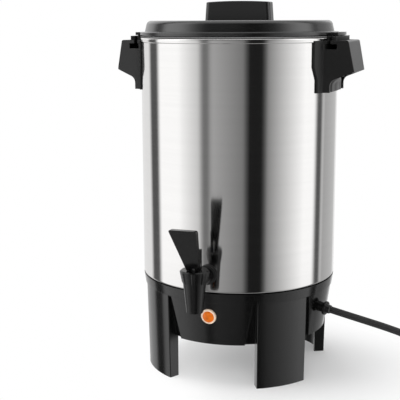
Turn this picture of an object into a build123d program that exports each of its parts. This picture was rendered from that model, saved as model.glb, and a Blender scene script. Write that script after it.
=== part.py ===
from build123d import *
import os
from math import atan2, cos, degrees, pi, radians, sin, sqrt, tan

# Percolator urn with a lever tap. Millimetres, +Z up, origin on the table under the tank's axis.
# The tap faces -Y, the handles lie along X and the cord leaves at +X.

# Clearances shared by all pieces
seat_gap = 0.3
skin_gap = 0.1
fit_gap = 0.05
overrun = 1.0
on_floor = (Align.CENTER, Align.CENTER, Align.MIN)
under_top = (Align.CENTER, Align.CENTER, Align.MAX)

# Tank
tank_radius = 90.0
tank_wall = 0.8
tank_floor = 1.0
tank_bottom_z = 88.0
tank_height = 219.0
tank_bottom_round = 2.5
rim_height = 4.2
rim_bulge = 1.0
rim_depth = 2.6
rim_round = 0.9
well_radius = 30.0
well_depth = 8.0

tank_inner = tank_radius - tank_wall
tank_top_z = tank_bottom_z + tank_height
rim_low_z = tank_top_z - rim_height
rim_outer = tank_radius + rim_bulge
rim_inner = rim_outer - rim_depth
floor_top_z = tank_bottom_z + tank_floor
well_z = tank_bottom_z - well_depth
well_top_z = well_z + tank_floor

# Base housing: collar under the tank, conical skirt, four channel legs
collar_height = 9.0
collar_inset = 2.0
collar_lip = 0.7
ledge_thickness = 3.0
ledge_room = 28.0
skirt_height = 39.7
skirt_taper = 5.7
skirt_wall = 2.4
panel_rise = 3.2
panel_top_half_width = 38.5
panel_bottom_half_width = 30.0
panel_angles = (0, 90, 180, 270)
leg_half_angle = 16.5
leg_taper = 1.8
leg_depth = 9.7
leg_wall = 3.0
leg_edge_round = 0.8
leg_angles = (45, 135, 225, 315)

collar_z = tank_bottom_z - collar_height
collar_bottom_radius = tank_radius - collar_inset
skirt_bottom_z = collar_z - skirt_height
skirt_bottom_radius = collar_bottom_radius - skirt_taper
leg_foot_radius = collar_bottom_radius - leg_taper
leg_inner_radius = leg_foot_radius - leg_depth
ledge_inner_radius = well_radius + ledge_room
ledge_z = tank_bottom_z - ledge_thickness
shoulder_top_radius = collar_bottom_radius - panel_rise
shoulder_bottom_radius = skirt_bottom_radius - panel_rise
skirt_inner_top = shoulder_top_radius - skirt_wall
skirt_inner_bottom = shoulder_bottom_radius - skirt_wall
skirt_slope = (collar_bottom_radius - skirt_bottom_radius) / (collar_z - skirt_bottom_z)
skirt_normal = Vector(1, 0, -skirt_slope).normalized()

# Bottom cover, its bosses and screws
cover_thickness = 1.6
cover_lift = 0.6
cover_gap = 0.4
cover_boss_radius = 4.5
cover_boss_inset = 12.7
cover_boss_angles = (90, 210, 330)
cover_screw_radius = 1.4
cover_screw_depth = 12.0
cover_screw_head_radius = 3.0
cover_screw_head = 2.0

cover_z = skirt_bottom_z + cover_lift
cover_top_z = cover_z + cover_thickness
cover_radius = skirt_inner_bottom - cover_gap
cover_boss_place = skirt_inner_bottom - cover_boss_inset

# Studs welded under the tank and their nuts
stud_radius = 2.0
stud_length = 12.0
stud_angles = (30, 150, 270)
nut_flats = 7.0
nut_height = 3.2

stud_place = (ledge_inner_radius + skirt_inner_top) / 2

# Heater stack under the well
heater_plate_inset = 2.0
heater_plate_height = 4.0
element_inset = 8.0
element_radius = 3.2
element_arc = 290.0
element_pin_radius = 1.6
element_pin_length = 8.0
clamp_length = 52.0
clamp_width = 12.0
clamp_thickness = 1.6
clamp_stud_length = 18.0

heater_plate_radius = well_radius - heater_plate_inset
heater_plate_z = well_z - heater_plate_height
element_ring_radius = heater_plate_radius - element_inset
element_z = heater_plate_z - skin_gap - element_radius
clamp_top_z = element_z - element_radius - skin_gap
clamp_z = clamp_top_z - clamp_thickness

# Thermostat, thermal fuse and terminal block
thermostat_room = 15.0
thermostat_cap_radius = 8.3
thermostat_cap_height = 2.5
thermostat_body_radius = 7.2
thermostat_body_height = 8.5
thermostat_tab_width = 6.0
thermostat_tab_thickness = 0.8
thermostat_tab_length = 8.0
thermostat_tab_offset = 4.0
fuse_radius = 2.2
fuse_length = 14.0
fuse_room = 15.0
fuse_lead_radius = 0.6
fuse_lead_length = 9.0
block_length = 30.0
block_width = 22.0
block_height = 15.0
block_room = 12.0
block_groove_width = 5.0
block_groove_depth = 4.0
block_pole_offset = 8.0
block_screw_radius = 2.0
block_screw_height = 1.6
block_screw_offset = 6.0
wire_radius = 1.1
wire_gap = 0.3
wire_bend = 2.4
wire_core_offset = 2.2
wire_straight = 7.0
wire_swing = 13.0
wire_drop = 6.0

thermostat_place = well_radius + thermostat_room
fuse_place = well_radius + fuse_room
block_place = well_radius + block_room

# Pilot light in the front of the skirt
pilot_drop = 12.8
pilot_rim_radius = 6.9
pilot_rim_height = 1.8
pilot_rim_round = 0.7
pilot_barrel_radius = 6.1
pilot_barrel_length = 11.0
pilot_barrel_wall = 0.8
pilot_lens_rise = 1.4
pilot_lens_depth = 4.0
pilot_lamp_radius = 2.6
pilot_lamp_length = 11.0

pilot_z = collar_z - pilot_drop

# Side handles
handle_drop = 2.4
handle_height = 44.6
handle_root_inset = 6.0
handle_top_overhang = 16.0
handle_tip_overhang = 21.4
handle_tip_drop = 27.0
handle_under_drop = 34.6
handle_under_round = 6.5
handle_tab_overhang = 1.4
handle_root_half_width = 33.0
handle_outer_half_width = 24.5
handle_wall = 3.0
handle_back = 3.4
handle_edge_round = 1.2
handle_top_round = 2.0
flange_thickness = 1.8
flange_half_width = 43.5
flange_low_half_width = 39.5
flange_taper_drop = 22.6
flange_taper_height = 11.0
block_top_rise = 3.8
block_inner_overhang = 1.8
block_outer_overhang = 10.0
block_half_angle = 17.0
channel_drop = 7.6
channel_height = 4.6
channel_inner_overhang = 2.4
channel_outer_overhang = 11.0
slot_overhang = 5.0
slot_width = 2.8
handle_screw_rise = 24.0
handle_screw_angle = 12.0
handle_screw_radius = 1.6
handle_screw_reach = 4.5
handle_screw_head_radius = 3.4
handle_screw_head = 2.0
handle_boss_radius = 4.2
handle_boss_reach = 7.0

handle_top_z = tank_top_z - handle_drop
handle_bottom_z = handle_top_z - handle_height
handle_tip_z = handle_top_z - handle_tip_drop
handle_under_z = handle_top_z - handle_under_drop
handle_root_reach = tank_radius - handle_root_inset
handle_top_reach = tank_radius + handle_top_overhang
handle_tip_reach = tank_radius + handle_tip_overhang
handle_tab_reach = tank_radius + handle_tab_overhang
handle_screw_z = handle_bottom_z + handle_screw_rise
flange_taper_top_z = handle_top_z - flange_taper_drop
flange_taper_bottom_z = flange_taper_top_z - flange_taper_height
block_top_z = handle_top_z + block_top_rise
block_inner_radius = tank_radius + block_inner_overhang
block_outer_radius = tank_radius + block_outer_overhang
channel_z = handle_top_z - channel_drop
channel_inner_radius = tank_radius + channel_inner_overhang
channel_outer_radius = tank_radius + channel_outer_overhang
slot_radius = tank_radius + slot_overhang

# Lid, its lugs, knob and seal
seal_width = 3.4
seal_height = 1.0
seal_inset = 0.8
lid_flange_overhang = 0.6
lid_flange_height = 3.4
lid_side_inset = 3.6
lid_shoulder_inset = 2.4
lid_rise = 10.0
lid_wall = 2.4
lid_top_round = 4.5
lid_spigot_gap = 2.0
lid_spigot_wall = 2.0
lid_spigot_depth = 4.5
lug_overhang = 7.2
lug_height = 2.6
lug_half_angle = 11.0
web_thickness = 1.6
web_half_angle = 9.0
web_lift = 1.4
knob_length = 62.6
knob_top_length = 60.2
knob_width = 16.0
knob_height = 16.4
knob_arch = 1.0
knob_end_round = 4.0
knob_top_round = 1.0
knob_screw_place = 18.0
knob_screw_radius = 1.5
knob_screw_depth = 10.0
knob_screw_head_radius = 3.0
knob_screw_head = 1.8

seal_z = tank_top_z + seat_gap
seal_outer = rim_outer - seal_inset
lid_flange_z = seal_z + seal_height + seat_gap
lid_flange_top_z = lid_flange_z + lid_flange_height
lid_top_z = lid_flange_top_z + lid_rise
lid_flange_radius = tank_radius + lid_flange_overhang
lid_side_radius = tank_radius - lid_side_inset
lid_shoulder_radius = lid_side_radius - lid_shoulder_inset
lid_spigot_radius = rim_inner - lid_spigot_gap
lug_z = block_top_z + 2 * seat_gap
lug_reach = tank_radius + lug_overhang
web_bottom_z = channel_z + web_lift

# Pump tube, coffee basket and its cover
tube_radius = 5.0
tube_wall = 0.8
tube_top_drop = 7.0
foot_gap = 3.0
foot_skirt = 3.0
foot_height = 13.0
foot_notch_width = 8.0
foot_notch_height = 1.8
collar_ring_radius = 9.0
collar_ring_height = 4.0
basket_drop = 75.0
basket_gap = 15.2
basket_height = 52.0
basket_wall = 1.0
basket_lip = 2.0
sleeve_gap = 0.6
sleeve_wall = 1.0
sieve_hole_radius = 1.6
sieve_ring_shares = (0.27, 0.51, 0.76)
sieve_hole_counts = (10, 18, 26)
spreader_thickness = 1.0
spreader_rim = 5.0
spreader_hole_radius = 1.4
spreader_ring_shares = (0.24, 0.48, 0.72)
spreader_hole_counts = (8, 16, 24)

tube_top_z = tank_top_z - tube_top_drop
foot_radius = well_radius - tank_floor - foot_gap
basket_floor_z = tank_top_z - basket_drop
basket_radius = tank_inner - basket_gap

# Tap
tap_rise = 17.0
tap_overhang = 32.0
shank_radius = 6.5
shank_bore = 4.0
shank_hole_gap = 0.3
shank_inset = 11.5
tap_washer_radius = 8.6
tap_washer_height = 2.4
tap_nut_flats = 19.0
tap_nut_height = 6.0
spout_top_radius = 9.9
spout_bottom_radius = 7.1
spout_drop = 24.5
spout_bore = 4.8
spout_round = 0.6
seat_drop = 8.0
seat_hole_radius = 3.4
seat_web = 3.0
chamber_radius = 6.2
bonnet_rise = 2.0
bonnet_height = 10.5
bonnet_radius = 10.2
bonnet_rib_radius = 12.9
bonnet_rib_foot = 10.8
bonnet_rib_width = 3.2
bonnet_rib_count = 8
bonnet_rib_turn = 12.5
bonnet_rib_drop = 0.4
bonnet_top = 2.4
neck_radius = 8.0
neck_height = 7.0
stem_radius = 2.0
stem_flange_radius = 5.2
stem_flange_drop = 1.0
stem_flange_height = 1.0
stem_top_rise = 3.0
cup_radius = 5.2
cup_height = 5.0
cup_grip = 3.5
spring_radius = 4.3
spring_wire_radius = 0.4
spring_turns = 4

tap_z = tank_bottom_z + tap_rise
tap_reach = tank_radius + tap_overhang
shank_inner_reach = tank_radius - shank_inset
spout_bottom_z = tap_z - spout_drop
seat_z = tap_z - seat_drop
bonnet_z = tap_z + bonnet_rise
bonnet_top_z = bonnet_z + bonnet_height
stem_flange_z = tap_z - stem_flange_drop

# Lever on top of the stem
lever_pin_rise = 4.0
lever_pin_radius = 1.0
lever_toe = 5.4
lever_heel = 4.0
lever_skin = 2.0
lever_lean = 31.7
lever_height = 39.0
lever_plate = 4.6
lever_root_width = 10.6
lever_fork_width = 10.2
lever_top_width = 24.0
lever_fork_gap = 5.0
lever_rib_height = 17.0
lever_rib_top = 17.9
lever_skin_lift = 2.4
lever_corner_round = 1.6

lever_foot_z = bonnet_top_z + seat_gap
lever_pin_z = lever_foot_z + lever_pin_rise
stem_top_z = lever_pin_z + stem_top_rise

# Strain relief and cord
cord_width = 6.6
cord_first_run = 16.8
relief_angle = -12.5
relief_drop = 14.8
relief_neck_radius = 4.5
relief_inner_length = 9.0
relief_neck_length = 4.6
relief_ring_radius = 6.4
relief_ring_height = 3.0
relief_sleeve_length = 3.2
relief_sleeve_start = 4.4
relief_sleeve_end = 3.9
relief_ring_round = 1.1
relief_hole_gap = 0.15

# Coil of the put-away length, its tie and the plug
coil_turns_per_layer = 1.5
coil_step = 7.2
coil_inner_radius = 30.6
coil_climb_turns = 0.5
coil_floor_gap = 1.2
coil_points_per_turn = 40
tie_thickness = 0.6
tie_width = 6.0
tie_gap = 0.5
tail_length = 30.0
plug_length = 32.0
plug_width = 24.0
plug_height = 15.0
plug_neck_length = 9.0
plug_neck_radius = 4.6
plug_round = 3.0
plug_floor_gap = 0.3
blade_length = 17.0
blade_width = 6.35
blade_thickness = 1.5
blade_spacing = 12.7
blade_root = 8.0
blade_hole_radius = 1.6
blade_hole_place = 12.0

relief_z = collar_z - relief_drop
cord_radius = cord_width / 2
coil_low_z = cord_radius + coil_floor_gap
coil_turns = 2 * coil_turns_per_layer + coil_climb_turns
coil_outer_radius = coil_inner_radius + coil_turns_per_layer * coil_step
skirt_reach_at_relief = skirt_bottom_radius + (relief_z - skirt_bottom_z) * skirt_slope
relief_seat = Vector(skirt_reach_at_relief, 0, relief_z)
relief_out = relief_neck_length + relief_ring_height + relief_sleeve_length
cord_exit = relief_seat + skirt_normal * relief_out

# Route of the free stretch before it is turned to the strain relief's side of the base:
# out of the strain relief, down to the table, level into the coil
cord_route = [
    cord_exit,
    cord_exit + skirt_normal * cord_first_run,
    Vector(131.0, 0.0, 57.8),
    Vector(149.5, 0.0, 55.2),
    Vector(168.0, 0.0, 51.9),
    Vector(186.0, 0.0, 46.0),
    Vector(202.0, 0.0, 37.0),
    Vector(216.0, 0.0, 26.0),
    Vector(229.5, 0.0, 15.6),
    Vector(243.5, 0.0, 7.8),
    Vector(258.5, 0.0, coil_low_z),
    Vector(272.0, 0.0, coil_low_z),
]
cord_bend_share = 0.45
coil_lean = degrees(atan2(coil_step, 2 * pi * coil_outer_radius))
coil_start_angle = -90 - coil_lean


def polar(radius, angle, z):
    return Vector(radius * cos(radians(angle)), radius * sin(radians(angle)), z)


coil_start = cord_route[-1] + Vector(cord_width, 0, 0)
coil_centre = coil_start - polar(coil_outer_radius, coil_start_angle, 0)


def rod(radius, start, end):
    span = Vector(end) - Vector(start)
    seat = Plane(origin=start, z_dir=span)
    return seat * Cylinder(radius, span.length, align=on_floor)


def tube(outer, inner, start, end):
    reach = (Vector(end) - Vector(start)).normalized() * overrun
    return rod(outer, start, end) - rod(inner, Vector(start) - reach, Vector(end) + reach)


def ring(outer, inner, low_z, high_z):
    return tube(outer, inner, (0, 0, low_z), (0, 0, high_z))


def hexagon(flats, bore, start, end):
    span = Vector(end) - Vector(start)
    seat = Plane(origin=start, z_dir=span)
    body = extrude(seat * RegularPolygon(flats / 2, 6, major_radius=False), span.length, dir=span)
    reach = span.normalized() * overrun
    return body - rod(bore, Vector(start) - reach, Vector(end) + reach)


def outline(points, rounds=()):
    face = make_face(Polyline(*points, close=True))
    for corner, radius in rounds:
        nearest = face.vertices().sort_by_distance(Vector(*corner))[0]
        face = fillet(nearest, radius)
    return face


def turned(points, rounds=()):
    # Solid of revolution from an outline of radius and height
    return revolve(Plane.XZ * outline(points, rounds), axis=Axis.Z)


def wedge(half_angle, reach, low_z, high_z, apex=0):
    # Triangular prism about +X that holds one sector of a ring
    half_width = (reach - apex) * tan(radians(half_angle))
    face = outline([(apex, 0), (reach, -half_width), (reach, half_width)])
    return Pos(0, 0, low_z) * extrude(face, high_z - low_z)


def plate_x(points, half_width, rounds=()):
    # Outline of y and z, thick along X
    return extrude(Plane.YZ * outline(points, rounds), half_width, both=True)


def plate_y(points, half_width, rounds=()):
    # Outline of x and z, thick along Y
    return extrude(Plane.XZ * outline(points, rounds), half_width, both=True)


def biarc(start, start_way, end, end_way):
    # Two tangent arcs between two points with given directions
    chord = end - start
    ways = start_way + end_way
    spread = 2 * (1 - start_way.dot(end_way))
    lean = 2 * chord.dot(ways)
    reach = (sqrt(lean * lean + 4 * spread * chord.dot(chord)) - lean) / (2 * spread)
    middle = (start + end + (start_way - end_way) * reach) * 0.5
    middle_way = ((end - end_way * reach) - (start + start_way * reach)).normalized()
    first = Edge.make_tangent_arc(start, start_way, middle)
    second = Edge.make_tangent_arc(middle, middle_way, end)
    return [first, second]


def wound_edges(place, turns, steps_per_turn=4):
    # Biarcs of a quarter turn along a curve that is given by its turn number
    count = round(turns * steps_per_turn)
    nudge = 1e-4
    edges = []
    for step in range(count):
        ends = []
        for turn in (step / steps_per_turn, (step + 1) / steps_per_turn):
            way = (place(turn + nudge) - place(turn - nudge)).normalized()
            ends += [place(turn), way]
        edges += biarc(*ends)
    return edges


def least_gap(points, diameter, skip):
    # Smallest clear distance of a wound tube to itself, leaving out the nearest stretch along it
    least = None
    for low in range(len(points)):
        for high in range(low + skip, len(points)):
            gap = (points[low] - points[high]).length - diameter
            if least is None or gap < least:
                least = gap
    return least


def sieve(shares, counts, hole_radius, low_z, high_z):
    holes = []
    for share, count in zip(shares, counts):
        radius = basket_radius * share
        for number in range(count):
            angle = 360 * number / count
            holes.append(rod(hole_radius, polar(radius, angle, low_z), polar(radius, angle, high_z)))
    return holes


def skirt_plane(angle, z):
    # Plane on the skirt's outer face, its normal square to the cone
    radius = skirt_bottom_radius + (z - skirt_bottom_z) * skirt_slope
    normal = polar(skirt_normal.X, angle, skirt_normal.Z)
    return Plane(origin=polar(radius, angle, z), x_dir=polar(1, angle + 90, 0), z_dir=normal)


def tank_shell():
    well_inner = well_radius - tank_floor
    body = turned(
        [
            (0, well_z),
            (well_radius, well_z),
            (well_radius, tank_bottom_z),
            (tank_radius, tank_bottom_z),
            (tank_radius, rim_low_z),
            (rim_outer, rim_low_z),
            (rim_outer, tank_top_z),
            (rim_inner, tank_top_z),
            (rim_inner, rim_low_z),
            (tank_inner, rim_low_z),
            (tank_inner, floor_top_z),
            (well_inner, floor_top_z),
            (well_inner, well_top_z),
            (0, well_top_z),
        ],
        [
            ((tank_radius, tank_bottom_z), tank_bottom_round),
            ((tank_inner, floor_top_z), tank_bottom_round - tank_wall),
            ((rim_outer, rim_low_z), rim_round),
            ((rim_outer, tank_top_z), rim_round),
            ((rim_inner, tank_top_z), rim_round),
        ],
    )
    body -= rod(shank_radius + shank_hole_gap, (0, -tank_inner + overrun, tap_z), (0, -rim_outer, tap_z))
    for side in (0, 180):
        for angle in (side - handle_screw_angle, side + handle_screw_angle):
            inner = polar(tank_inner - overrun, angle, handle_screw_z)
            body -= rod(handle_screw_radius + seat_gap, inner, polar(rim_outer, angle, handle_screw_z))
    return body


def base_leg():
    # One channel leg about +X: outer panel with two radial side walls, open to the inside and below
    block = turned(
        [
            (leg_inner_radius, 0),
            (leg_foot_radius, 0),
            (collar_bottom_radius, collar_z),
            (leg_inner_radius, collar_z),
        ]
    )
    block &= wedge(leg_half_angle, tank_radius + overrun, 0, collar_z)
    corners = block.edges().filter_by(GeomType.LINE).sort_by(Axis.X)[-2:]
    block = fillet(corners, leg_edge_round)
    pocket = turned(
        [
            (leg_inner_radius - overrun, -overrun),
            (leg_foot_radius - leg_wall, -overrun),
            (collar_bottom_radius - leg_wall, collar_z),
            (leg_inner_radius - overrun, collar_z),
        ]
    )
    apex = leg_wall / sin(radians(leg_half_angle))
    pocket &= wedge(leg_half_angle, tank_radius + overrun, -overrun, collar_z, apex)
    return block - pocket


def skirt_panel():
    # Raised panel about +X, narrower below, flush with the collar above
    ring_piece = turned(
        [
            (shoulder_bottom_radius, skirt_bottom_z),
            (skirt_bottom_radius, skirt_bottom_z),
            (collar_bottom_radius, collar_z),
            (shoulder_top_radius, collar_z),
        ]
    )
    face = outline(
        [
            (-panel_bottom_half_width, skirt_bottom_z),
            (panel_bottom_half_width, skirt_bottom_z),
            (panel_top_half_width, collar_z),
            (-panel_top_half_width, collar_z),
        ]
    )
    return ring_piece & extrude(Plane.YZ * face, 2 * tank_radius)


def base_housing():
    body = turned(
        [
            (shoulder_bottom_radius, skirt_bottom_z),
            (shoulder_top_radius, collar_z),
            (collar_bottom_radius + collar_lip, collar_z),
            (tank_radius, tank_bottom_z),
            (ledge_inner_radius, tank_bottom_z),
            (ledge_inner_radius, ledge_z),
            (skirt_inner_top, ledge_z),
            (skirt_inner_bottom, skirt_bottom_z),
        ]
    )
    panel = skirt_panel()
    leg = base_leg()
    for angle in panel_angles:
        body += Rot(0, 0, angle) * panel
    for angle in leg_angles:
        body += Rot(0, 0, angle) * leg
    for angle in cover_boss_angles:
        foot = polar(cover_boss_place, angle, cover_top_z)
        body += rod(cover_boss_radius, foot, polar(cover_boss_place, angle, ledge_z))
        hole_top = polar(cover_boss_place, angle, cover_top_z + cover_screw_depth + overrun)
        body -= rod(cover_screw_radius + fit_gap, foot, hole_top)
    for angle in stud_angles:
        low = polar(stud_place, angle, ledge_z - overrun)
        body -= rod(stud_radius + seat_gap, low, polar(stud_place, angle, tank_bottom_z + overrun))
    hole_length = 4 * (skirt_wall + panel_rise)
    body -= skirt_plane(-90, pilot_z) * Cylinder(pilot_barrel_radius + fit_gap, hole_length)
    body -= skirt_plane(relief_angle, relief_z) * Cylinder(relief_neck_radius + relief_hole_gap, hole_length)
    return body


def bottom_cover():
    plate = rod(cover_radius, (0, 0, cover_z), (0, 0, cover_top_z))
    for angle in cover_boss_angles:
        low = polar(cover_boss_place, angle, cover_z - overrun)
        high = polar(cover_boss_place, angle, cover_top_z + overrun)
        plate -= rod(cover_screw_radius + seat_gap, low, high)
    return plate


def bottom_screws():
    screws = []
    for angle in cover_boss_angles:
        seat = polar(cover_boss_place, angle, cover_z)
        head = rod(cover_screw_head_radius, polar(cover_boss_place, angle, cover_z - cover_screw_head), seat)
        shank = rod(cover_screw_radius, seat, polar(cover_boss_place, angle, cover_top_z + cover_screw_depth))
        screws.append(head + shank)
    return screws


def tank_studs():
    studs = []
    for angle in stud_angles:
        low = polar(stud_place, angle, tank_bottom_z - stud_length)
        studs.append(rod(stud_radius, low, polar(stud_place, angle, tank_bottom_z)))
    return studs


def stud_nuts():
    nuts = []
    for angle in stud_angles:
        low = polar(stud_place, angle, ledge_z - nut_height)
        nuts.append(hexagon(nut_flats, stud_radius + fit_gap, low, polar(stud_place, angle, ledge_z)))
    return nuts


def heater_plate():
    return ring(heater_plate_radius, stud_radius + seat_gap, heater_plate_z, well_z)


def heating_element():
    # Open ring, its gap about +X, with a cold pin at each end
    section = Plane.XZ * Pos(element_ring_radius, element_z) * Circle(element_radius)
    start = (360 - element_arc) / 2
    body = Rot(0, 0, start) * revolve(section, axis=Axis.Z, revolution_arc=element_arc)
    for angle, turn in ((start, -90), (-start, 90)):
        end = polar(element_ring_radius, angle, element_z)
        body += rod(element_pin_radius, end, end + polar(element_pin_length, angle + turn, 0))
    return body


def heater_clamp():
    bar = Pos(0, 0, clamp_z) * Box(clamp_width, clamp_length, clamp_thickness, align=on_floor)
    return bar - rod(stud_radius + seat_gap, (0, 0, clamp_z - overrun), (0, 0, clamp_top_z + overrun))


def clamp_stud():
    return rod(stud_radius, (0, 0, well_z - clamp_stud_length), (0, 0, well_z))


def clamp_nut():
    return hexagon(nut_flats, stud_radius + fit_gap, (0, 0, clamp_z - nut_height), (0, 0, clamp_z))


def thermostat():
    cap_z = tank_bottom_z - thermostat_cap_height
    body_z = cap_z - thermostat_body_height
    centre = Vector(-thermostat_place, 0, 0)
    body = rod(thermostat_cap_radius, centre + Vector(0, 0, cap_z), centre + Vector(0, 0, tank_bottom_z))
    body += rod(thermostat_body_radius, centre + Vector(0, 0, body_z), centre + Vector(0, 0, cap_z))
    for side in (-1, 1):
        tab = Box(thermostat_tab_width, thermostat_tab_thickness, thermostat_tab_length, align=under_top)
        body += Pos(-thermostat_place, side * thermostat_tab_offset, body_z) * tab
    return body


def thermal_fuse():
    z = tank_bottom_z - skin_gap - fuse_radius
    half = fuse_length / 2
    body = rod(fuse_radius, (-half, fuse_place, z), (half, fuse_place, z))
    reach = half + fuse_lead_length
    return body + rod(fuse_lead_radius, (-reach, fuse_place, z), (reach, fuse_place, z))


def terminal_block():
    body = Pos(block_place, 0, cover_top_z) * Box(block_width, block_length, block_height, align=on_floor)
    for side in (-1, 1):
        groove = Box(block_width + overrun, block_groove_width, block_groove_depth, align=under_top)
        body -= Pos(block_place, side * block_pole_offset, cover_top_z + block_height) * groove
    return body


def terminal_screws():
    floor_z = cover_top_z + block_height - block_groove_depth
    screws = []
    for x_side in (-1, 1):
        for y_side in (-1, 1):
            foot = Vector(block_place + x_side * block_screw_offset, y_side * block_pole_offset, floor_z)
            screws.append(rod(block_screw_radius, foot, foot + Vector(0, 0, block_screw_height)))
    return screws


def wire(points):
    path = FilletPolyline(*points, radius=wire_bend)
    section = Plane(origin=points[0], z_dir=points[1] - points[0]) * Circle(wire_radius)
    return sweep(section, path=path)


def wiring():
    # Two supply cores into the terminal block, two leads from it to the thermostat's tabs
    core_start = relief_seat - skirt_normal * (relief_inner_length + wire_gap)
    outer_edge = block_place + block_width / 2 + wire_gap
    inner_edge = block_place - block_width / 2 - wire_gap
    pole_z = cover_top_z + block_height - block_groove_depth + wire_radius + wire_gap
    tab_z = tank_bottom_z - thermostat_cap_height - thermostat_body_height - thermostat_tab_length - wire_gap
    run_z = tab_z - wire_drop
    leads = []
    for side in (-1, 1):
        pole = side * block_pole_offset
        start = core_start + Vector(0, side * wire_core_offset, 0)
        inside = start - skirt_normal * wire_straight
        core = [
            start.rotate(Axis.Z, relief_angle),
            inside.rotate(Axis.Z, relief_angle),
            Vector(outer_edge + wire_straight, pole, pole_z),
            Vector(outer_edge, pole, pole_z),
        ]
        tab = side * thermostat_tab_offset
        lead = [
            Vector(inner_edge, pole, pole_z),
            Vector(inner_edge - wire_straight, pole + side * wire_swing, run_z),
            Vector(-thermostat_place, tab + side * wire_straight, run_z),
            Vector(-thermostat_place, tab, run_z),
            Vector(-thermostat_place, tab, tab_z),
        ]
        leads += [wire(core), wire(lead)]
    return leads


def pilot_bezel():
    seat = skirt_plane(-90, pilot_z)
    bore = pilot_barrel_radius - pilot_barrel_wall
    rim = Cylinder(pilot_rim_radius, pilot_rim_height, align=on_floor)
    top_edge = rim.edges().sort_by(Axis.Z)[-1]
    rim = fillet(top_edge, pilot_rim_round)
    barrel = Cylinder(pilot_barrel_radius, pilot_barrel_length, align=under_top)
    hole = Cylinder(bore, 2 * (pilot_barrel_length + pilot_rim_height) + overrun)
    return seat * (rim + barrel - hole)


def pilot_lens():
    seat = skirt_plane(-90, pilot_z)
    radius = pilot_barrel_radius - pilot_barrel_wall - fit_gap
    top = pilot_rim_height + pilot_lens_rise
    dome_radius = (radius ** 2 + pilot_lens_rise ** 2) / (2 * pilot_lens_rise)
    body = Pos(0, 0, -pilot_lens_depth) * Cylinder(radius, pilot_lens_depth + top, align=on_floor)
    return seat * (body & Pos(0, 0, top - dome_radius) * Sphere(dome_radius))


def pilot_lamp():
    seat = skirt_plane(-90, pilot_z)
    start = -pilot_lens_depth - seat_gap
    sleeve_radius = pilot_barrel_radius - pilot_barrel_wall - fit_gap
    lamp = Cylinder(pilot_lamp_radius, pilot_lamp_length, align=under_top)
    collar = Cylinder(sleeve_radius, pilot_lamp_radius, align=under_top)
    return seat * Pos(0, 0, start) * (lamp + Pos(0, 0, -pilot_lamp_radius) * collar)


def side_handle():
    # Handle about +X: hollow ear with two side tabs, a mounting flange and a channel for the lid's lug
    plan = outline(
        [
            (tank_radius / 2, -handle_root_half_width),
            (handle_root_reach, -handle_root_half_width),
            (handle_tip_reach, -handle_outer_half_width),
            (handle_tip_reach, handle_outer_half_width),
            (handle_root_reach, handle_root_half_width),
            (tank_radius / 2, handle_root_half_width),
        ],
        [
            ((handle_tip_reach, -handle_outer_half_width), handle_edge_round),
            ((handle_tip_reach, handle_outer_half_width), handle_edge_round),
        ],
    )
    height = handle_top_z - handle_bottom_z
    side = plate_y(
        [
            (tank_radius / 2, handle_bottom_z),
            (handle_tab_reach, handle_bottom_z),
            (handle_tab_reach, handle_under_z),
            (handle_tip_reach, handle_tip_z),
            (handle_top_reach, handle_top_z),
            (tank_radius / 2, handle_top_z),
        ],
        2 * handle_root_half_width,
        [
            ((handle_tab_reach, handle_under_z), handle_under_round),
            ((handle_top_reach, handle_top_z), handle_top_round),
        ],
    )
    body = (Pos(0, 0, handle_bottom_z) * extrude(plan, height)) & side
    body -= handle_hollow()
    body += handle_flange()
    block = ring(block_outer_radius, block_inner_radius, handle_top_z - overrun, block_top_z)
    body += block & wedge(block_half_angle, 2 * tank_radius, handle_top_z - overrun, block_top_z)
    for angle in (-handle_screw_angle, handle_screw_angle):
        root = polar(tank_radius, angle, handle_screw_z)
        body += rod(handle_boss_radius, root, polar(tank_radius + handle_boss_reach, angle, handle_screw_z))
    for angle in (-handle_screw_angle, handle_screw_angle):
        root = polar(tank_radius - overrun, angle, handle_screw_z)
        tip = polar(tank_radius + handle_screw_reach + overrun, angle, handle_screw_z)
        body -= rod(handle_screw_radius + fit_gap, root, tip)
    body -= rod(tank_radius + skin_gap, (0, 0, handle_bottom_z - overrun), (0, 0, block_top_z + overrun))
    body -= rod(rim_outer + seat_gap, (0, 0, rim_low_z - seat_gap), (0, 0, block_top_z + overrun))
    body -= ring(channel_outer_radius, channel_inner_radius, channel_z, channel_z + channel_height)
    half_slot = slot_width / 2
    body -= ring(slot_radius + half_slot, slot_radius - half_slot, channel_z, block_top_z + overrun)
    return body


def handle_hollow():
    # Finger room: open below, walled on the outside, at both ends and at the back
    low_z = handle_bottom_z - overrun
    top_z = channel_z - handle_wall
    lean = (handle_tip_reach - handle_top_reach) / (handle_top_z - handle_tip_z)
    outer_top = handle_top_reach + (handle_top_z - top_z) * lean - handle_wall
    outer_tip = handle_tip_reach - handle_wall
    side = plate_y(
        [
            (tank_radius / 2, low_z),
            (outer_tip, low_z),
            (outer_tip, handle_tip_z),
            (outer_top, top_z),
            (tank_radius / 2, top_z),
        ],
        2 * handle_root_half_width,
    )
    plan = outline(
        [
            (tank_radius / 2, handle_wall - handle_root_half_width),
            (handle_root_reach, handle_wall - handle_root_half_width),
            (handle_tip_reach, handle_wall - handle_outer_half_width),
            (handle_tip_reach, handle_outer_half_width - handle_wall),
            (handle_root_reach, handle_root_half_width - handle_wall),
            (tank_radius / 2, handle_root_half_width - handle_wall),
        ]
    )
    room = (Pos(0, 0, low_z) * extrude(plan, top_z - low_z)) & side
    return room - rod(tank_radius + handle_back, (0, 0, low_z - overrun), (0, 0, top_z + overrun))


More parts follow.
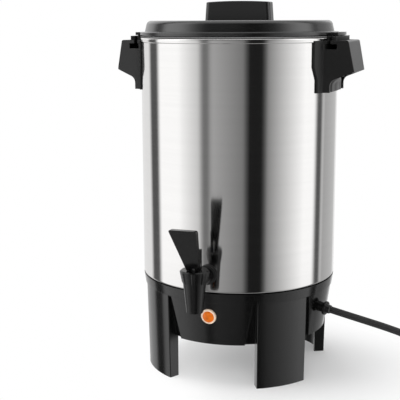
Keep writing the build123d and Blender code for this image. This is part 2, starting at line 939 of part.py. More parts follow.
def handle_flange():
    shell = ring(tank_radius + flange_thickness, tank_radius, handle_bottom_z, handle_top_z)
    face = outline(
        [
            (-flange_low_half_width, handle_bottom_z),
            (flange_low_half_width, handle_bottom_z),
            (flange_low_half_width, flange_taper_bottom_z),
            (flange_half_width, flange_taper_top_z),
            (flange_half_width, handle_top_z),
            (-flange_half_width, handle_top_z),
            (-flange_half_width, flange_taper_top_z),
            (-flange_low_half_width, flange_taper_bottom_z),
        ]
    )
    return shell & extrude(Plane.YZ * face, 2 * tank_radius)


def handle_screws():
    screws = []
    for side in (0, 180):
        for angle in (side - handle_screw_angle, side + handle_screw_angle):
            seat_radius = tank_inner - seat_gap
            seat = polar(seat_radius, angle, handle_screw_z)
            head_end = polar(seat_radius - handle_screw_head, angle, handle_screw_z)
            tip = polar(tank_radius + handle_screw_reach, angle, handle_screw_z)
            screws.append(rod(handle_screw_head_radius, head_end, seat) + rod(handle_screw_radius, seat, tip))
    return screws


def lid_seal():
    return ring(seal_outer, seal_outer - seal_width, seal_z, seal_z + seal_height)


def lid_shell():
    inner_top_z = lid_top_z - lid_wall
    body = turned(
        [
            (lid_side_radius - lid_wall, lid_flange_z),
            (lid_flange_radius, lid_flange_z),
            (lid_flange_radius, lid_flange_top_z),
            (lid_side_radius, lid_flange_top_z),
            (lid_shoulder_radius, lid_top_z),
            (0, lid_top_z),
            (0, inner_top_z),
            (lid_shoulder_radius - lid_wall, inner_top_z),
        ],
        [
            ((lid_shoulder_radius, lid_top_z), lid_top_round),
            ((lid_shoulder_radius - lid_wall, inner_top_z), lid_top_round - lid_wall),
        ],
    )
    spigot_inner = lid_spigot_radius - lid_spigot_wall
    body += ring(lid_spigot_radius, spigot_inner, lid_flange_z - lid_spigot_depth, lid_flange_z + overrun)
    lug = ring(lug_reach, lid_side_radius, lug_z, lug_z + lug_height)
    lug &= wedge(lug_half_angle, 2 * tank_radius, lug_z, lug_z + lug_height)
    half_web = web_thickness / 2
    web = ring(slot_radius + half_web, slot_radius - half_web, web_bottom_z, lug_z + overrun)
    web &= wedge(web_half_angle, 2 * tank_radius, web_bottom_z, lug_z + overrun)
    for angle in (0, 180):
        body += Rot(0, 0, angle) * (lug + web)
    for side in (-1, 1):
        foot = Vector(side * knob_screw_place, 0, inner_top_z - overrun)
        body -= rod(knob_screw_radius + seat_gap, foot, foot + Vector(0, 0, lid_wall + 2 * overrun))
    return body


def lid_knob():
    half = knob_length / 2
    half_top = knob_top_length / 2
    corner_z = lid_top_z + knob_height
    face = make_face(
        [
            Line((-half, lid_top_z), (half, lid_top_z)),
            Line((half, lid_top_z), (half_top, corner_z)),
            ThreePointArc((half_top, corner_z), (0, corner_z + knob_arch), (-half_top, corner_z)),
            Line((-half_top, corner_z), (-half, lid_top_z)),
        ]
    )
    body = extrude(Plane.XZ * face, knob_width / 2, both=True)
    ends = body.edges().filter_by(GeomType.LINE).filter_by(lambda edge: abs(edge.tangent_at(0).Z) > 0.5)
    body = fillet(ends, knob_end_round)
    body = fillet(body.faces().sort_by(Axis.Z)[-1].edges(), knob_top_round)
    for side in (-1, 1):
        foot = Vector(side * knob_screw_place, 0, lid_top_z - overrun)
        tip = foot + Vector(0, 0, knob_screw_depth + 2 * overrun)
        body -= rod(knob_screw_radius + fit_gap, foot, tip)
    return body


def knob_screws():
    screws = []
    for side in (-1, 1):
        seat = Vector(side * knob_screw_place, 0, lid_top_z - lid_wall)
        head = rod(knob_screw_head_radius, seat - Vector(0, 0, knob_screw_head), seat)
        screws.append(head + rod(knob_screw_radius, seat, seat + Vector(0, 0, lid_wall + knob_screw_depth)))
    return screws


def pump_tube():
    foot_z = well_top_z + seat_gap
    bore = tube_radius - tube_wall
    neck_z = foot_z + foot_height
    body = turned(
        [
            (foot_radius, foot_z),
            (foot_radius, foot_z + foot_skirt),
            (tube_radius, neck_z),
            (tube_radius, tube_top_z),
            (bore, tube_top_z),
            (bore, neck_z - tube_wall),
            (foot_radius - tube_wall, foot_z + foot_skirt - tube_wall),
            (foot_radius - tube_wall, foot_z),
        ]
    )
    notch = Pos(0, 0, foot_z) * Box(foot_notch_width, 3 * foot_radius, 2 * foot_notch_height)
    for angle in (0, 90):
        body -= Rot(0, 0, angle) * notch
    ring_top_z = basket_floor_z - seat_gap
    return body + ring(collar_ring_radius, bore, ring_top_z - collar_ring_height, ring_top_z)


def coffee_basket():
    sleeve_inner = tube_radius + sleeve_gap
    sleeve_outer = sleeve_inner + sleeve_wall
    floor_z = basket_floor_z + basket_wall
    top_z = basket_floor_z + basket_height
    body = turned(
        [
            (sleeve_inner, basket_floor_z),
            (basket_radius, basket_floor_z),
            (basket_radius, top_z - basket_wall),
            (basket_radius + basket_lip, top_z - basket_wall),
            (basket_radius + basket_lip, top_z),
            (basket_radius - basket_wall, top_z),
            (basket_radius - basket_wall, floor_z),
            (sleeve_outer, floor_z),
            (sleeve_outer, top_z),
            (sleeve_inner, top_z),
        ]
    )
    low_z = basket_floor_z - overrun
    return body - sieve(sieve_ring_shares, sieve_hole_counts, sieve_hole_radius, low_z, floor_z + overrun)


def basket_cover():
    low_z = basket_floor_z + basket_height + seat_gap
    high_z = low_z + spreader_thickness
    outer = basket_radius + basket_lip
    body = turned(
        [
            (tube_radius + sleeve_gap, low_z),
            (outer, low_z),
            (outer, high_z + spreader_rim),
            (outer - spreader_thickness, high_z + spreader_rim),
            (outer - spreader_thickness, high_z),
            (tube_radius + sleeve_gap, high_z),
        ]
    )
    cut_low_z = low_z - overrun
    cut_high_z = high_z + overrun
    return body - sieve(spreader_ring_shares, spreader_hole_counts, spreader_hole_radius, cut_low_z, cut_high_z)


def tap_body():
    axis_y = -tap_reach
    neck_z = bonnet_z + neck_height
    spout = Pos(0, axis_y, 0) * turned(
        [
            (0, spout_bottom_z),
            (spout_bottom_radius, spout_bottom_z),
            (spout_top_radius, bonnet_z),
            (neck_radius, bonnet_z),
            (neck_radius, neck_z),
            (0, neck_z),
        ],
        [((spout_bottom_radius, spout_bottom_z), spout_round)],
    )
    shank = rod(shank_radius, (0, axis_y, tap_z), (0, -shank_inner_reach, tap_z))
    shank -= rod(bonnet_rib_radius + seat_gap, (0, axis_y, bonnet_z), (0, axis_y, bonnet_top_z))
    body = spout + shank
    seat_low_z = seat_z - seat_web
    body -= rod(spout_bore, (0, axis_y, spout_bottom_z - overrun), (0, axis_y, seat_low_z))
    body -= rod(seat_hole_radius, (0, axis_y, seat_low_z - overrun), (0, axis_y, seat_z + overrun))
    body -= rod(chamber_radius, (0, axis_y, seat_z), (0, axis_y, neck_z + overrun))
    return body - rod(shank_bore, (0, axis_y, tap_z), (0, -shank_inner_reach + overrun, tap_z))


def tap_bonnet():
    cap = rod(bonnet_radius, (0, 0, bonnet_z), (0, 0, bonnet_top_z))
    rib_top_z = bonnet_top_z - bonnet_rib_drop
    rib = plate_y(
        [(0, bonnet_z), (bonnet_rib_foot, bonnet_z), (bonnet_rib_radius, rib_top_z), (0, rib_top_z)],
        bonnet_rib_width / 2,
    )
    for number in range(bonnet_rib_count):
        angle = bonnet_rib_turn + 360 * number / bonnet_rib_count
        cap += Rot(0, 0, angle) * rib
    cap -= rod(neck_radius + skin_gap, (0, 0, bonnet_z - overrun), (0, 0, bonnet_top_z - bonnet_top))
    cap -= rod(stem_radius + fit_gap, (0, 0, bonnet_z), (0, 0, bonnet_top_z + overrun))
    return Pos(0, -tap_reach, 0) * cap


def tap_outer_washer():
    start = (0, -tank_radius - skin_gap, tap_z)
    return tube(tap_washer_radius, shank_radius + fit_gap, start,
                (0, -tank_radius - skin_gap - tap_washer_height, tap_z))


def inner_washer_reach():
    # Where a flat washer meets the hollow side of the wall
    return sqrt(tank_inner ** 2 - tap_washer_radius ** 2) - skin_gap


def tap_inner_washer():
    reach = inner_washer_reach()
    return tube(tap_washer_radius, shank_radius + fit_gap, (0, -reach, tap_z),
                (0, -reach + tap_washer_height, tap_z))


def tap_nut():
    start = Vector(0, tap_washer_height - inner_washer_reach(), tap_z)
    return hexagon(tap_nut_flats, shank_radius + fit_gap, start, start + Vector(0, tap_nut_height, 0))


def valve_stem():
    axis_y = -tap_reach
    low_z = seat_z + seat_gap + cup_height - cup_grip
    body = rod(stem_radius, (0, axis_y, low_z), (0, axis_y, stem_top_z))
    flange_top_z = stem_flange_z + stem_flange_height
    body += rod(stem_flange_radius, (0, axis_y, stem_flange_z), (0, axis_y, flange_top_z))
    half = lever_root_width / 2
    return body - rod(lever_pin_radius + fit_gap, (-half, axis_y, lever_pin_z), (half, axis_y, lever_pin_z))


def seat_cup():
    low = Vector(0, -tap_reach, seat_z + seat_gap)
    high = low + Vector(0, 0, cup_height)
    socket = rod(stem_radius + fit_gap, high - Vector(0, 0, cup_grip), high + Vector(0, 0, overrun))
    return rod(cup_radius, low, high) - socket


def stem_spring():
    low_z = stem_flange_z + stem_flange_height + spring_wire_radius + skin_gap
    high_z = bonnet_top_z - bonnet_top - spring_wire_radius - skin_gap
    pitch = (high_z - low_z) / spring_turns

    def place(turn):
        return polar(spring_radius, 360 * turn, low_z + pitch * turn) + Vector(0, -tap_reach, 0)

    edges = wound_edges(place, spring_turns)
    section = Plane(origin=edges[0] @ 0, z_dir=edges[0] % 0) * Circle(spring_wire_radius)
    return sweep(section, path=Wire(edges))


def tap_lever():
    # Paddle that leans out over the tap, with two ribs behind it that straddle the stem
    axis_y = -tap_reach
    toe_y = axis_y - lever_toe
    heel_y = axis_y + lever_heel
    slope = tan(radians(lever_lean))
    back_y = toe_y + lever_plate / cos(radians(lever_lean))
    top_z = lever_foot_z + lever_height
    rib_top_z = lever_foot_z + lever_rib_top
    rib_meet = (back_y - lever_rib_top * slope, rib_top_z)
    half_root = lever_root_width / 2
    half_top = lever_top_width / 2
    half_gap = lever_fork_gap / 2
    paddle = plate_x(
        [
            (toe_y, lever_foot_z),
            (toe_y - lever_height * slope, top_z),
            (back_y - lever_height * slope, top_z),
            (back_y, lever_foot_z),
        ],
        half_top,
    )
    paddle &= plate_y(
        [(-half_root, lever_foot_z), (half_root, lever_foot_z), (half_top, top_z), (-half_top, top_z)],
        2 * tap_reach,
        [((-half_top, top_z), lever_corner_round), ((half_top, top_z), lever_corner_round)],
    )
    ribs = plate_x(
        [
            (back_y, lever_foot_z),
            rib_meet,
            (heel_y, lever_foot_z + lever_rib_height),
            (heel_y, lever_foot_z),
        ],
        lever_fork_width / 2,
    )
    skin_y = toe_y + lever_skin
    slot = plate_x(
        [
            (skin_y, lever_foot_z - overrun),
            (skin_y, lever_foot_z + (back_y - skin_y) / slope),
            rib_meet,
            (rib_meet[0], rib_top_z + overrun),
            (heel_y + overrun, rib_top_z + overrun),
            (heel_y + overrun, lever_foot_z - overrun),
        ],
        half_gap,
    )
    toe_cut = Pos(0, toe_y, lever_foot_z) * Box(lever_fork_gap, 2 * lever_skin + overrun, 2 * lever_skin_lift)
    pin_end = Vector(half_top, axis_y, lever_pin_z)
    pin_hole = rod(lever_pin_radius + fit_gap, pin_end - Vector(lever_top_width, 0, 0), pin_end)
    return paddle + ribs - slot - toe_cut - pin_hole


def lever_pin():
    half = lever_fork_width / 2
    return rod(lever_pin_radius, (-half, -tap_reach, lever_pin_z), (half, -tap_reach, lever_pin_z))


def strain_relief():
    seat = skirt_plane(relief_angle, relief_z)
    neck_length = relief_inner_length + relief_neck_length
    neck = Pos(0, 0, -relief_inner_length) * Cylinder(relief_neck_radius, neck_length, align=on_floor)
    ring_piece = Cylinder(relief_ring_radius, relief_ring_height, align=on_floor)
    ring_piece = fillet(ring_piece.edges(), relief_ring_round)
    sleeve = Cone(relief_sleeve_start, relief_sleeve_end, relief_sleeve_length, align=on_floor)
    body = neck + Pos(0, 0, relief_neck_length) * ring_piece
    return seat * (body + Pos(0, 0, relief_neck_length + relief_ring_height) * sleeve)


def cord():
    runs = [(after - before) for before, after in zip(cord_route, cord_route[1:])]
    radii = []
    for before, after in zip(runs, runs[1:]):
        half_turn = radians(before.get_angle(after)) / 2
        radii.append(cord_bend_share * min(before.length, after.length) / tan(half_turn))
    path = FilletPolyline(*cord_route, radius=radii)
    section = Plane(origin=cord_route[0], z_dir=runs[0]) * Circle(cord_radius)
    body = sweep(section, path=path)
    print("cord bend radii", [round(radius, 1) for radius in radii])
    print("cord length", round(path.length, 1))
    print("cord volume share", body.volume / (pi * cord_radius ** 2 * path.length))
    return body


def coil_place(turn):
    # Spiral in on the lower layer, climb in half a turn, spiral out on the upper layer
    low_turns = coil_turns_per_layer
    climb = turn - low_turns
    if climb <= 0:
        radius = coil_outer_radius - coil_step * turn
        z = coil_low_z
    elif climb < coil_climb_turns:
        radius = coil_inner_radius - coil_step * climb * (1 - climb / coil_climb_turns)
        z = coil_low_z + coil_step * (1 - cos(pi * climb / coil_climb_turns)) / 2
    else:
        radius = coil_inner_radius + coil_step * (climb - coil_climb_turns)
        z = coil_low_z + coil_step
    return coil_centre + polar(radius, coil_start_angle + 360 * turn, z - coil_low_z)


def cord_coil():
    wound = wound_edges(coil_place, coil_turns)
    tail_end = plug_face() + Vector(cord_width, 0, 0)
    tail_start = wound[-1] @ 1
    start_way = wound[-1] % 1
    end_way = Vector(-1, 0, 0)
    middle = (tail_start + tail_end) * 0.5
    middle_way = ((tail_end - tail_start).normalized() * 2 - (start_way + end_way) * 0.5).normalized()
    edges = [Edge.make_line(cord_route[-1], coil_start)] + wound
    edges += biarc(tail_start, start_way, middle, middle_way)
    edges += biarc(middle, middle_way, tail_end, end_way)
    edges.append(Edge.make_line(tail_end, plug_face()))
    path = Wire(edges)
    section = Plane(origin=cord_route[-1], z_dir=edges[0] % 0) * Circle(cord_radius)
    body = sweep(section, path=path)
    count = coil_points_per_turn * round(coil_turns)
    points = [coil_place(coil_turns * number / count) for number in range(count + 1)]
    gap = least_gap(points, cord_width, coil_points_per_turn // 2)
    print("coil length", round(path.length, 1), "least gap", round(gap, 2))
    print("coil volume share", body.volume / (pi * cord_radius ** 2 * path.length))
    return body


def plug_face():
    # Middle of the plug's cord end, beside the coil
    tail_start = coil_place(coil_turns)
    drift = tail_length * tan(radians(coil_lean))
    plug_z = plug_height / 2 + plug_floor_gap
    return Vector(tail_start.X - tail_length - cord_width, tail_start.Y + drift, plug_z)


def cord_tie():
    # Band round both layers on the far side of the coil
    near = coil_place(1.25)
    far = coil_place(0.25)
    grip = cord_radius + tie_gap
    low_x = near.X - grip
    high_x = far.X + grip
    low_z = coil_low_z - grip
    high_z = coil_low_z + coil_step + grip
    wall = tie_thickness
    outer = plate_y(
        [
            (low_x - wall, low_z - wall),
            (high_x + wall, low_z - wall),
            (high_x + wall, high_z + wall),
            (low_x - wall, high_z + wall),
        ],
        tie_width / 2,
    )
    inner = plate_y([(low_x, low_z), (high_x, low_z), (high_x, high_z), (low_x, high_z)], tie_width)
    return Pos(0, (near.Y + far.Y) / 2, 0) * (outer - inner)


def plug_body():
    face = plug_face()
    seat = Plane(origin=face, x_dir=(0, 1, 0), z_dir=(-1, 0, 0))
    block = Box(plug_width, plug_height, plug_length - plug_neck_length, align=on_floor)
    block = Pos(0, 0, plug_neck_length) * fillet(block.edges(), plug_round)
    neck = Cylinder(plug_neck_radius, plug_neck_length + plug_round, align=on_floor)
    body = seat * (block + neck)
    for blade in plug_blades(fit_gap):
        body -= blade
    return body


def plug_blades(grow=0):
    front_x = plug_face().X - plug_length
    blades = []
    for side in (-1, 1):
        y = plug_face().Y + side * blade_spacing / 2
        blade = Box(blade_length + blade_root, blade_thickness + 2 * grow, blade_width + 2 * grow,
                    align=(Align.MIN, Align.CENTER, Align.CENTER))
        blade = Pos(front_x - blade_length, y, plug_face().Z) * blade
        hole_x = front_x - blade_hole_place
        hole = rod(blade_hole_radius, (hole_x, y - blade_thickness, plug_face().Z),
                   (hole_x, y + blade_thickness, plug_face().Z))
        blades.append(blade - hole)
    return blades


def write(name, shape):
    # One file for each node; a list becomes a group of separate solids
    solids = []
    for piece in shape if isinstance(shape, list) else [shape]:
        solids += piece.solids()
    node = solids[0] if len(solids) == 1 else Compound(children=solids)
    node.label = name
    export_step(node, os.path.join("parts", name + ".step"))


right_handle = side_handle()
turn_to_relief = Rot(0, 0, relief_angle)

nodes = {
    "tank_shell": tank_shell(),
    "base_housing": base_housing(),
    "bottom_cover": bottom_cover(),
    "bottom_screws": bottom_screws(),
    "tank_studs": tank_studs(),
    "stud_nuts": stud_nuts(),
    "heater_plate": heater_plate(),
    "heating_element": heating_element(),
    "heater_clamp": heater_clamp(),
    "clamp_stud": clamp_stud(),
    "clamp_nut": clamp_nut(),
    "thermostat": thermostat(),
    "thermal_fuse": thermal_fuse(),
    "terminal_block": terminal_block(),
    "terminal_screws": terminal_screws(),
    "wiring": wiring(),
    "pilot_bezel": pilot_bezel(),
    "pilot_lens": pilot_lens(),
    "pilot_lamp": pilot_lamp(),
    "handle_right": right_handle,
    "handle_left": Rot(0, 0, 180) * right_handle,
    "handle_screws": handle_screws(),
    "lid_seal": lid_seal(),
    "lid_shell": lid_shell(),
    "lid_knob": lid_knob(),
    "knob_screws": knob_screws(),
    "pump_tube": pump_tube(),
    "coffee_basket": coffee_basket(),
    "basket_cover": basket_cover(),
    "tap_body": tap_body(),
    "tap_bonnet": tap_bonnet(),
    "tap_outer_washer": tap_outer_washer(),
    "tap_inner_washer": tap_inner_washer(),
    "tap_nut": tap_nut(),
    "valve_stem": valve_stem(),
    "seat_cup": seat_cup(),
    "stem_spring": stem_spring(),
    "tap_lever": tap_lever(),
    "lever_pin": lever_pin(),
    "strain_relief": strain_relief(),
    "cord": turn_to_relief * cord(),
    "cord_coil": turn_to_relief * cord_coil(),
    "cord_tie": turn_to_relief * cord_tie(),
    "plug_body": turn_to_relief * plug_body(),
    "plug_blades": [turn_to_relief * blade for blade in plug_blades()],
}

os.makedirs("parts", exist_ok=True)
for name, shape in nodes.items():
    write(name, shape)
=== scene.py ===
import math

import bpy
import bmesh
from mathutils import Euler, Matrix, Vector


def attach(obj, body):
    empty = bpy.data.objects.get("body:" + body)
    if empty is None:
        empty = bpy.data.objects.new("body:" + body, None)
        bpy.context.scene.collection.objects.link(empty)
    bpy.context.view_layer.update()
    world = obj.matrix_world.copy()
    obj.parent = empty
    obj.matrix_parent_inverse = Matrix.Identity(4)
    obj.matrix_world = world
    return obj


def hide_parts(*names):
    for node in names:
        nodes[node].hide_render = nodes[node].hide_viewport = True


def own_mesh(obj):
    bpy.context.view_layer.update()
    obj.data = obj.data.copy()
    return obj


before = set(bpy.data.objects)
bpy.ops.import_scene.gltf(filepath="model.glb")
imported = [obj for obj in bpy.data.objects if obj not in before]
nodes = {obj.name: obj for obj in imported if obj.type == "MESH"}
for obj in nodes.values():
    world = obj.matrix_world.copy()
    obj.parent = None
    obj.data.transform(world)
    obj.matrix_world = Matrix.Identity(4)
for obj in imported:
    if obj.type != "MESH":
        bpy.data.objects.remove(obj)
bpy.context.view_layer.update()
scene = bpy.context.scene
scene.view_settings.view_transform = "Standard"
print("frame loaded with", len(nodes), "nodes")


# Camera: angles in degrees, azimuth as the frame counts it, reach from the tank's axis
viewSpot = {
    "azimuth": 17.5,
    "reach": 0.8817,
    "height": 0.3221,
    "pitch": 10.742,
    "yaw": 2.384,
    "roll": -0.26,
    "lens": 85.2,
    "sensor": 36.0,
}


def makeCamera(spot):
    data = bpy.data.cameras.new("urnCamera")
    data.lens = spot["lens"]
    data.sensor_width = spot["sensor"]
    camera = bpy.data.objects.new("urnCamera", data)
    scene.collection.objects.link(camera)
    around = math.radians(spot["azimuth"])
    place = Vector((spot["reach"] * math.sin(around), -spot["reach"] * math.cos(around), spot["height"]))
    tilt = math.radians(90 - spot["pitch"])
    turn = math.radians(spot["azimuth"] + spot["yaw"])
    aim = Euler((tilt, 0, turn), "XYZ").to_matrix().to_4x4()
    aim = aim @ Matrix.Rotation(math.radians(spot["roll"]), 4, "Z")
    camera.matrix_world = Matrix.Translation(place) @ aim
    scene.camera = camera


makeCamera(viewSpot)
print("camera placed")


def addPiece(name, mesh, material=None):
    piece = bpy.data.objects.new(name, mesh)
    scene.collection.objects.link(piece)
    if material is not None:
        mesh.materials.clear()
        mesh.materials.append(material)
    return piece


def smoothByAngle(mesh, angle=35):
    mesh.polygons.foreach_set("use_smooth", [True] * len(mesh.polygons))
    mesh.set_sharp_from_angle(angle=math.radians(angle))


def meshFrom(name, bm):
    mesh = bpy.data.meshes.new(name)
    bm.to_mesh(mesh)
    bm.free()
    return mesh


def newSurface(name):
    material = bpy.data.materials.new(name)
    material.use_nodes = True
    return material, material.node_tree


# Finishes. Each group gives what changes over a surface; the shader stays in the material.
def newGroup(name, inputs, outputs):
    tree = bpy.data.node_groups.new(name, "ShaderNodeTree")
    for label, value in inputs.items():
        kind = "NodeSocketColor" if isinstance(value, tuple) else "NodeSocketFloat"
        socket = tree.interface.new_socket(name=label, in_out="INPUT", socket_type=kind)
        socket.default_value = value
    for label in outputs:
        kind = "NodeSocketColor" if label == "Color" else "NodeSocketFloat"
        tree.interface.new_socket(name=label, in_out="OUTPUT", socket_type=kind)
    return tree, tree.nodes.new("NodeGroupInput"), tree.nodes.new("NodeGroupOutput")


def addNode(tree, kind, inputs=None, **settings):
    node = tree.nodes.new(kind)
    for label, value in settings.items():
        setattr(node, label, value)
    for label, value in (inputs or {}).items():
        if isinstance(value, bpy.types.NodeSocket):
            tree.links.new(value, node.inputs[label])
        else:
            node.inputs[label].default_value = value
    return node


def mathNode(tree, operation, first, second=None, third=None):
    inputs = {0: first}
    if second is not None:
        inputs[1] = second
    if third is not None:
        inputs[2] = third
    return addNode(tree, "ShaderNodeMath", inputs, operation=operation).outputs[0]


def vectorNode(tree, operation, first, second, output="Vector"):
    return addNode(tree, "ShaderNodeVectorMath", {0: first, 1: second}, operation=operation).outputs[output]


def rangeNode(tree, value, fromSpan, toSpan, kind="LINEAR"):
    inputs = {"Value": value, "From Min": fromSpan[0], "From Max": fromSpan[1]}
    inputs["To Min"] = toSpan[0]
    inputs["To Max"] = toSpan[1]
    return addNode(tree, "ShaderNodeMapRange", inputs, interpolation_type=kind).outputs["Result"]


def mixNode(tree, factor, first, second):
    return addNode(tree, "ShaderNodeMix", {0: factor, 2: first, 3: second}).outputs[0]


def xyzNode(tree, **parts):
    return addNode(tree, "ShaderNodeCombineXYZ", parts).outputs[0]


def swingNode(tree, value, middle, swing):
    # middle plus or minus swing, for a value from 0 to 1
    centred = mathNode(tree, "SUBTRACT", value, 0.5)
    return mathNode(tree, "MULTIPLY_ADD", centred, swing, middle)


def noiseNode(tree, place, scale, detail, **more):
    inputs = {"Vector": place, "Scale": scale, "Detail": detail, **more}
    return addNode(tree, "ShaderNodeTexNoise", inputs).outputs["Fac"]


def shareNode(tree, first, firstShare, second, secondShare):
    rest = mathNode(tree, "MULTIPLY", second, secondShare)
    return mathNode(tree, "MULTIPLY_ADD", first, firstShare, rest)


brushMix = {"fine": 0.6, "broad": 0.4, "broadStretch": (0.5, 0.5, 0.09)}
grainMix = {"grain": 0.5, "patch": 0.5}


def brushLinesGroup(mix):
    # Fine lines that run round Z, with slow patches, on Object coordinates
    tree, given, made = newGroup(
        "brushLines",
        {
            "Tint": (0.8, 0.8, 0.8, 1),
            "TintSwing": 0.1,
            "Rough": 0.2,
            "RoughSwing": 0.1,
            "LinesPerMetre": 3000.0,
            "RunPerMetre": 8.0,
        },
        ["Color", "Roughness", "Height"],
    )
    values = given.outputs
    place = addNode(tree, "ShaderNodeTexCoord").outputs["Object"]
    run = values["RunPerMetre"]
    fineScale = xyzNode(tree, X=run, Y=run, Z=values["LinesPerMetre"])
    fineAt = vectorNode(tree, "MULTIPLY", place, fineScale)
    fine = noiseNode(tree, fineAt, scale=1.0, detail=3.0, Roughness=0.6)
    broadAt = vectorNode(tree, "MULTIPLY", fineAt, mix["broadStretch"])
    broad = noiseNode(tree, broadAt, scale=1.0, detail=2.0)
    both = shareNode(tree, broad, mix["broad"], fine, mix["fine"])
    shade = swingNode(tree, both, 1.0, values["TintSwing"])
    tree.links.new(vectorNode(tree, "MULTIPLY", values["Tint"], shade), made.inputs["Color"])
    rough = swingNode(tree, both, values["Rough"], values["RoughSwing"])
    tree.links.new(rough, made.inputs["Roughness"])
    tree.links.new(fine, made.inputs["Height"])
    return tree


def mouldGrainGroup(mix):
    # Spark-eroded grain of a moulded surface, with slow sheen changes
    tree, given, made = newGroup(
        "mouldGrain",
        {
            "Tint": (0.03, 0.03, 0.03, 1),
            "TintSwing": 0.2,
            "Rough": 0.4,
            "RoughSwing": 0.1,
            "GrainPerMetre": 2500.0,
            "PatchPerMetre": 30.0,
        },
        ["Color", "Roughness", "Height"],
    )
    values = given.outputs
    place = addNode(tree, "ShaderNodeTexCoord").outputs["Object"]
    grain = noiseNode(tree, place, values["GrainPerMetre"], detail=2.0)
    patch = noiseNode(tree, place, values["PatchPerMetre"], detail=3.0)
    shade = swingNode(tree, patch, 1.0, values["TintSwing"])
    tree.links.new(vectorNode(tree, "MULTIPLY", values["Tint"], shade), made.inputs["Color"])
    mixed = shareNode(tree, grain, mix["grain"], patch, mix["patch"])
    rough = swingNode(tree, mixed, values["Rough"], values["RoughSwing"])
    tree.links.new(rough, made.inputs["Roughness"])
    tree.links.new(grain, made.inputs["Height"])
    return tree


def slotShadeGroup():
    # Painted shade: darker colour in a piece's own slots and grooves from local occlusion, and rougher
    # there too
    tree, given, made = newGroup(
        "slotShade",
        {"Color": (0.03, 0.03, 0.03, 1), "Roughness": 0.4, "Reach": 0.01},
        ["Color", "Roughness"],
    )
    inputs = {"Color": given.outputs["Color"], "Distance": given.outputs["Reach"]}
    shade = addNode(tree, "ShaderNodeAmbientOcclusion", inputs, only_local=True)
    polish = mathNode(tree, "SUBTRACT", 1.0, given.outputs["Roughness"])
    polish = mathNode(tree, "MULTIPLY", polish, shade.outputs["AO"])
    tree.links.new(shade.outputs["Color"], made.inputs["Color"])
    tree.links.new(mathNode(tree, "SUBTRACT", 1.0, polish), made.inputs["Roughness"])
    return tree


brushLines = brushLinesGroup(brushMix)
mouldGrain = mouldGrainGroup(grainMix)
slotShade = slotShadeGroup()
bevelSamples = 6


def finish(
    name, group, values, metallic=0.0, bump=0.1, bumpHeight=0.00002, edge=0.0, slotShadeReach=0.0, **sockets
):
    # One Principled material fed by a group, with softened edges and painted shade in its slots where that
    # is set
    material, tree = newSurface(name)
    shader = tree.nodes["Principled BSDF"]
    source = addNode(tree, "ShaderNodeGroup", node_tree=group)
    for label, value in values.items():
        source.inputs[label].default_value = value
    look = source
    # painted shade: the colour darkens by occlusion in the piece's own slots, as far as the given reach
    if slotShadeReach > 0:
        plain = {label: source.outputs[label] for label in ("Color", "Roughness")}
        look = addNode(tree, "ShaderNodeGroup", {**plain, "Reach": slotShadeReach}, node_tree=slotShade)
    tree.links.new(look.outputs["Color"], shader.inputs["Base Color"])
    tree.links.new(look.outputs["Roughness"], shader.inputs["Roughness"])
    shader.inputs["Metallic"].default_value = metallic
    for label, value in sockets.items():
        shader.inputs[label.replace("_", " ")].default_value = value
    relief = addNode(tree, "ShaderNodeBump", {"Strength": bump, "Distance": bumpHeight})
    tree.links.new(source.outputs["Height"], relief.inputs["Height"])
    if edge > 0:
        soft = addNode(tree, "ShaderNodeBevel", {"Radius": edge}, samples=bevelSamples)
        tree.links.new(soft.outputs["Normal"], relief.inputs["Normal"])
    tree.links.new(relief.outputs["Normal"], shader.inputs["Normal"])
    return material


def grey(level, warm=0.0):
    return (level * (1 + warm), level, level * (1 - warm), 1)


white = grey(1.0)
tankSteel = finish(
    "tankSteel",
    brushLines,
    {
        "Tint": grey(0.78, 0.01),
        "TintSwing": 0.12,
        "Rough": 0.11,
        "RoughSwing": 0.07,
        "LinesPerMetre": 2600.0,
    },
    metallic=1.0,
    bump=0.08,
    Anisotropic=0.7,
    Anisotropic_Rotation=0.25,
)
radial = addNode(tankSteel.node_tree, "ShaderNodeTangent", direction_type="RADIAL", axis="Z")
tankSteel.node_tree.links.new(
    radial.outputs["Tangent"], tankSteel.node_tree.nodes["Principled BSDF"].inputs["Tangent"]
)
tankSatin = finish(
    "tankSatin",
    brushLines,
    {"Tint": grey(0.62), "TintSwing": 0.12, "Rough": 0.42, "RoughSwing": 0.1, "LinesPerMetre": 2600.0},
    metallic=0.7,
)
blackPlastic = finish(
    "blackPlastic",
    mouldGrain,
    {"Tint": grey(0.004), "TintSwing": 0.4, "Rough": 0.28, "RoughSwing": 0.12},
    bump=0.2,
    bumpHeight=0.00004,
    edge=0.0006,
    Specular_IOR_Level=0.4,
)
handlePlastic = finish(
    "handlePlastic",
    mouldGrain,
    {"Tint": grey(0.011), "TintSwing": 0.3, "Rough": 0.3, "RoughSwing": 0.12},
    bump=0.2,
    bumpHeight=0.00004,
    edge=0.0016,
    # painted shade darkens the handles' colour in their own slots
    slotShadeReach=0.012,
    Specular_IOR_Level=0.28,
)
basePlastic = finish(
    "basePlastic",
    mouldGrain,
    {"Tint": grey(0.004), "TintSwing": 0.4, "Rough": 0.13, "RoughSwing": 0.08},
    bump=0.1,
    bumpHeight=0.00003,
    edge=0.0006,
    Specular_IOR_Level=0.6,
)
lidPlastic = finish(
    "lidPlastic",
    mouldGrain,
    {"Tint": grey(0.004), "TintSwing": 0.4, "Rough": 0.24, "RoughSwing": 0.08, "GrainPerMetre": 3000.0},
    bump=0.1,
    bumpHeight=0.00003,
    edge=0.0006,
    Specular_IOR_Level=0.95,
)
tapPlastic = finish(
    "tapPlastic",
    mouldGrain,
    {"Tint": grey(0.004), "TintSwing": 0.4, "Rough": 0.22, "RoughSwing": 0.1, "GrainPerMetre": 3500.0},
    bump=0.12,
    bumpHeight=0.00003,
    edge=0.0004,
    Specular_IOR_Level=0.4,
)
bezelIvory = finish(
    "bezelIvory",
    mouldGrain,
    {"Tint": (0.82, 0.64, 0.5, 1), "TintSwing": 0.08, "Rough": 0.28, "RoughSwing": 0.08},
    bump=0.05,
)
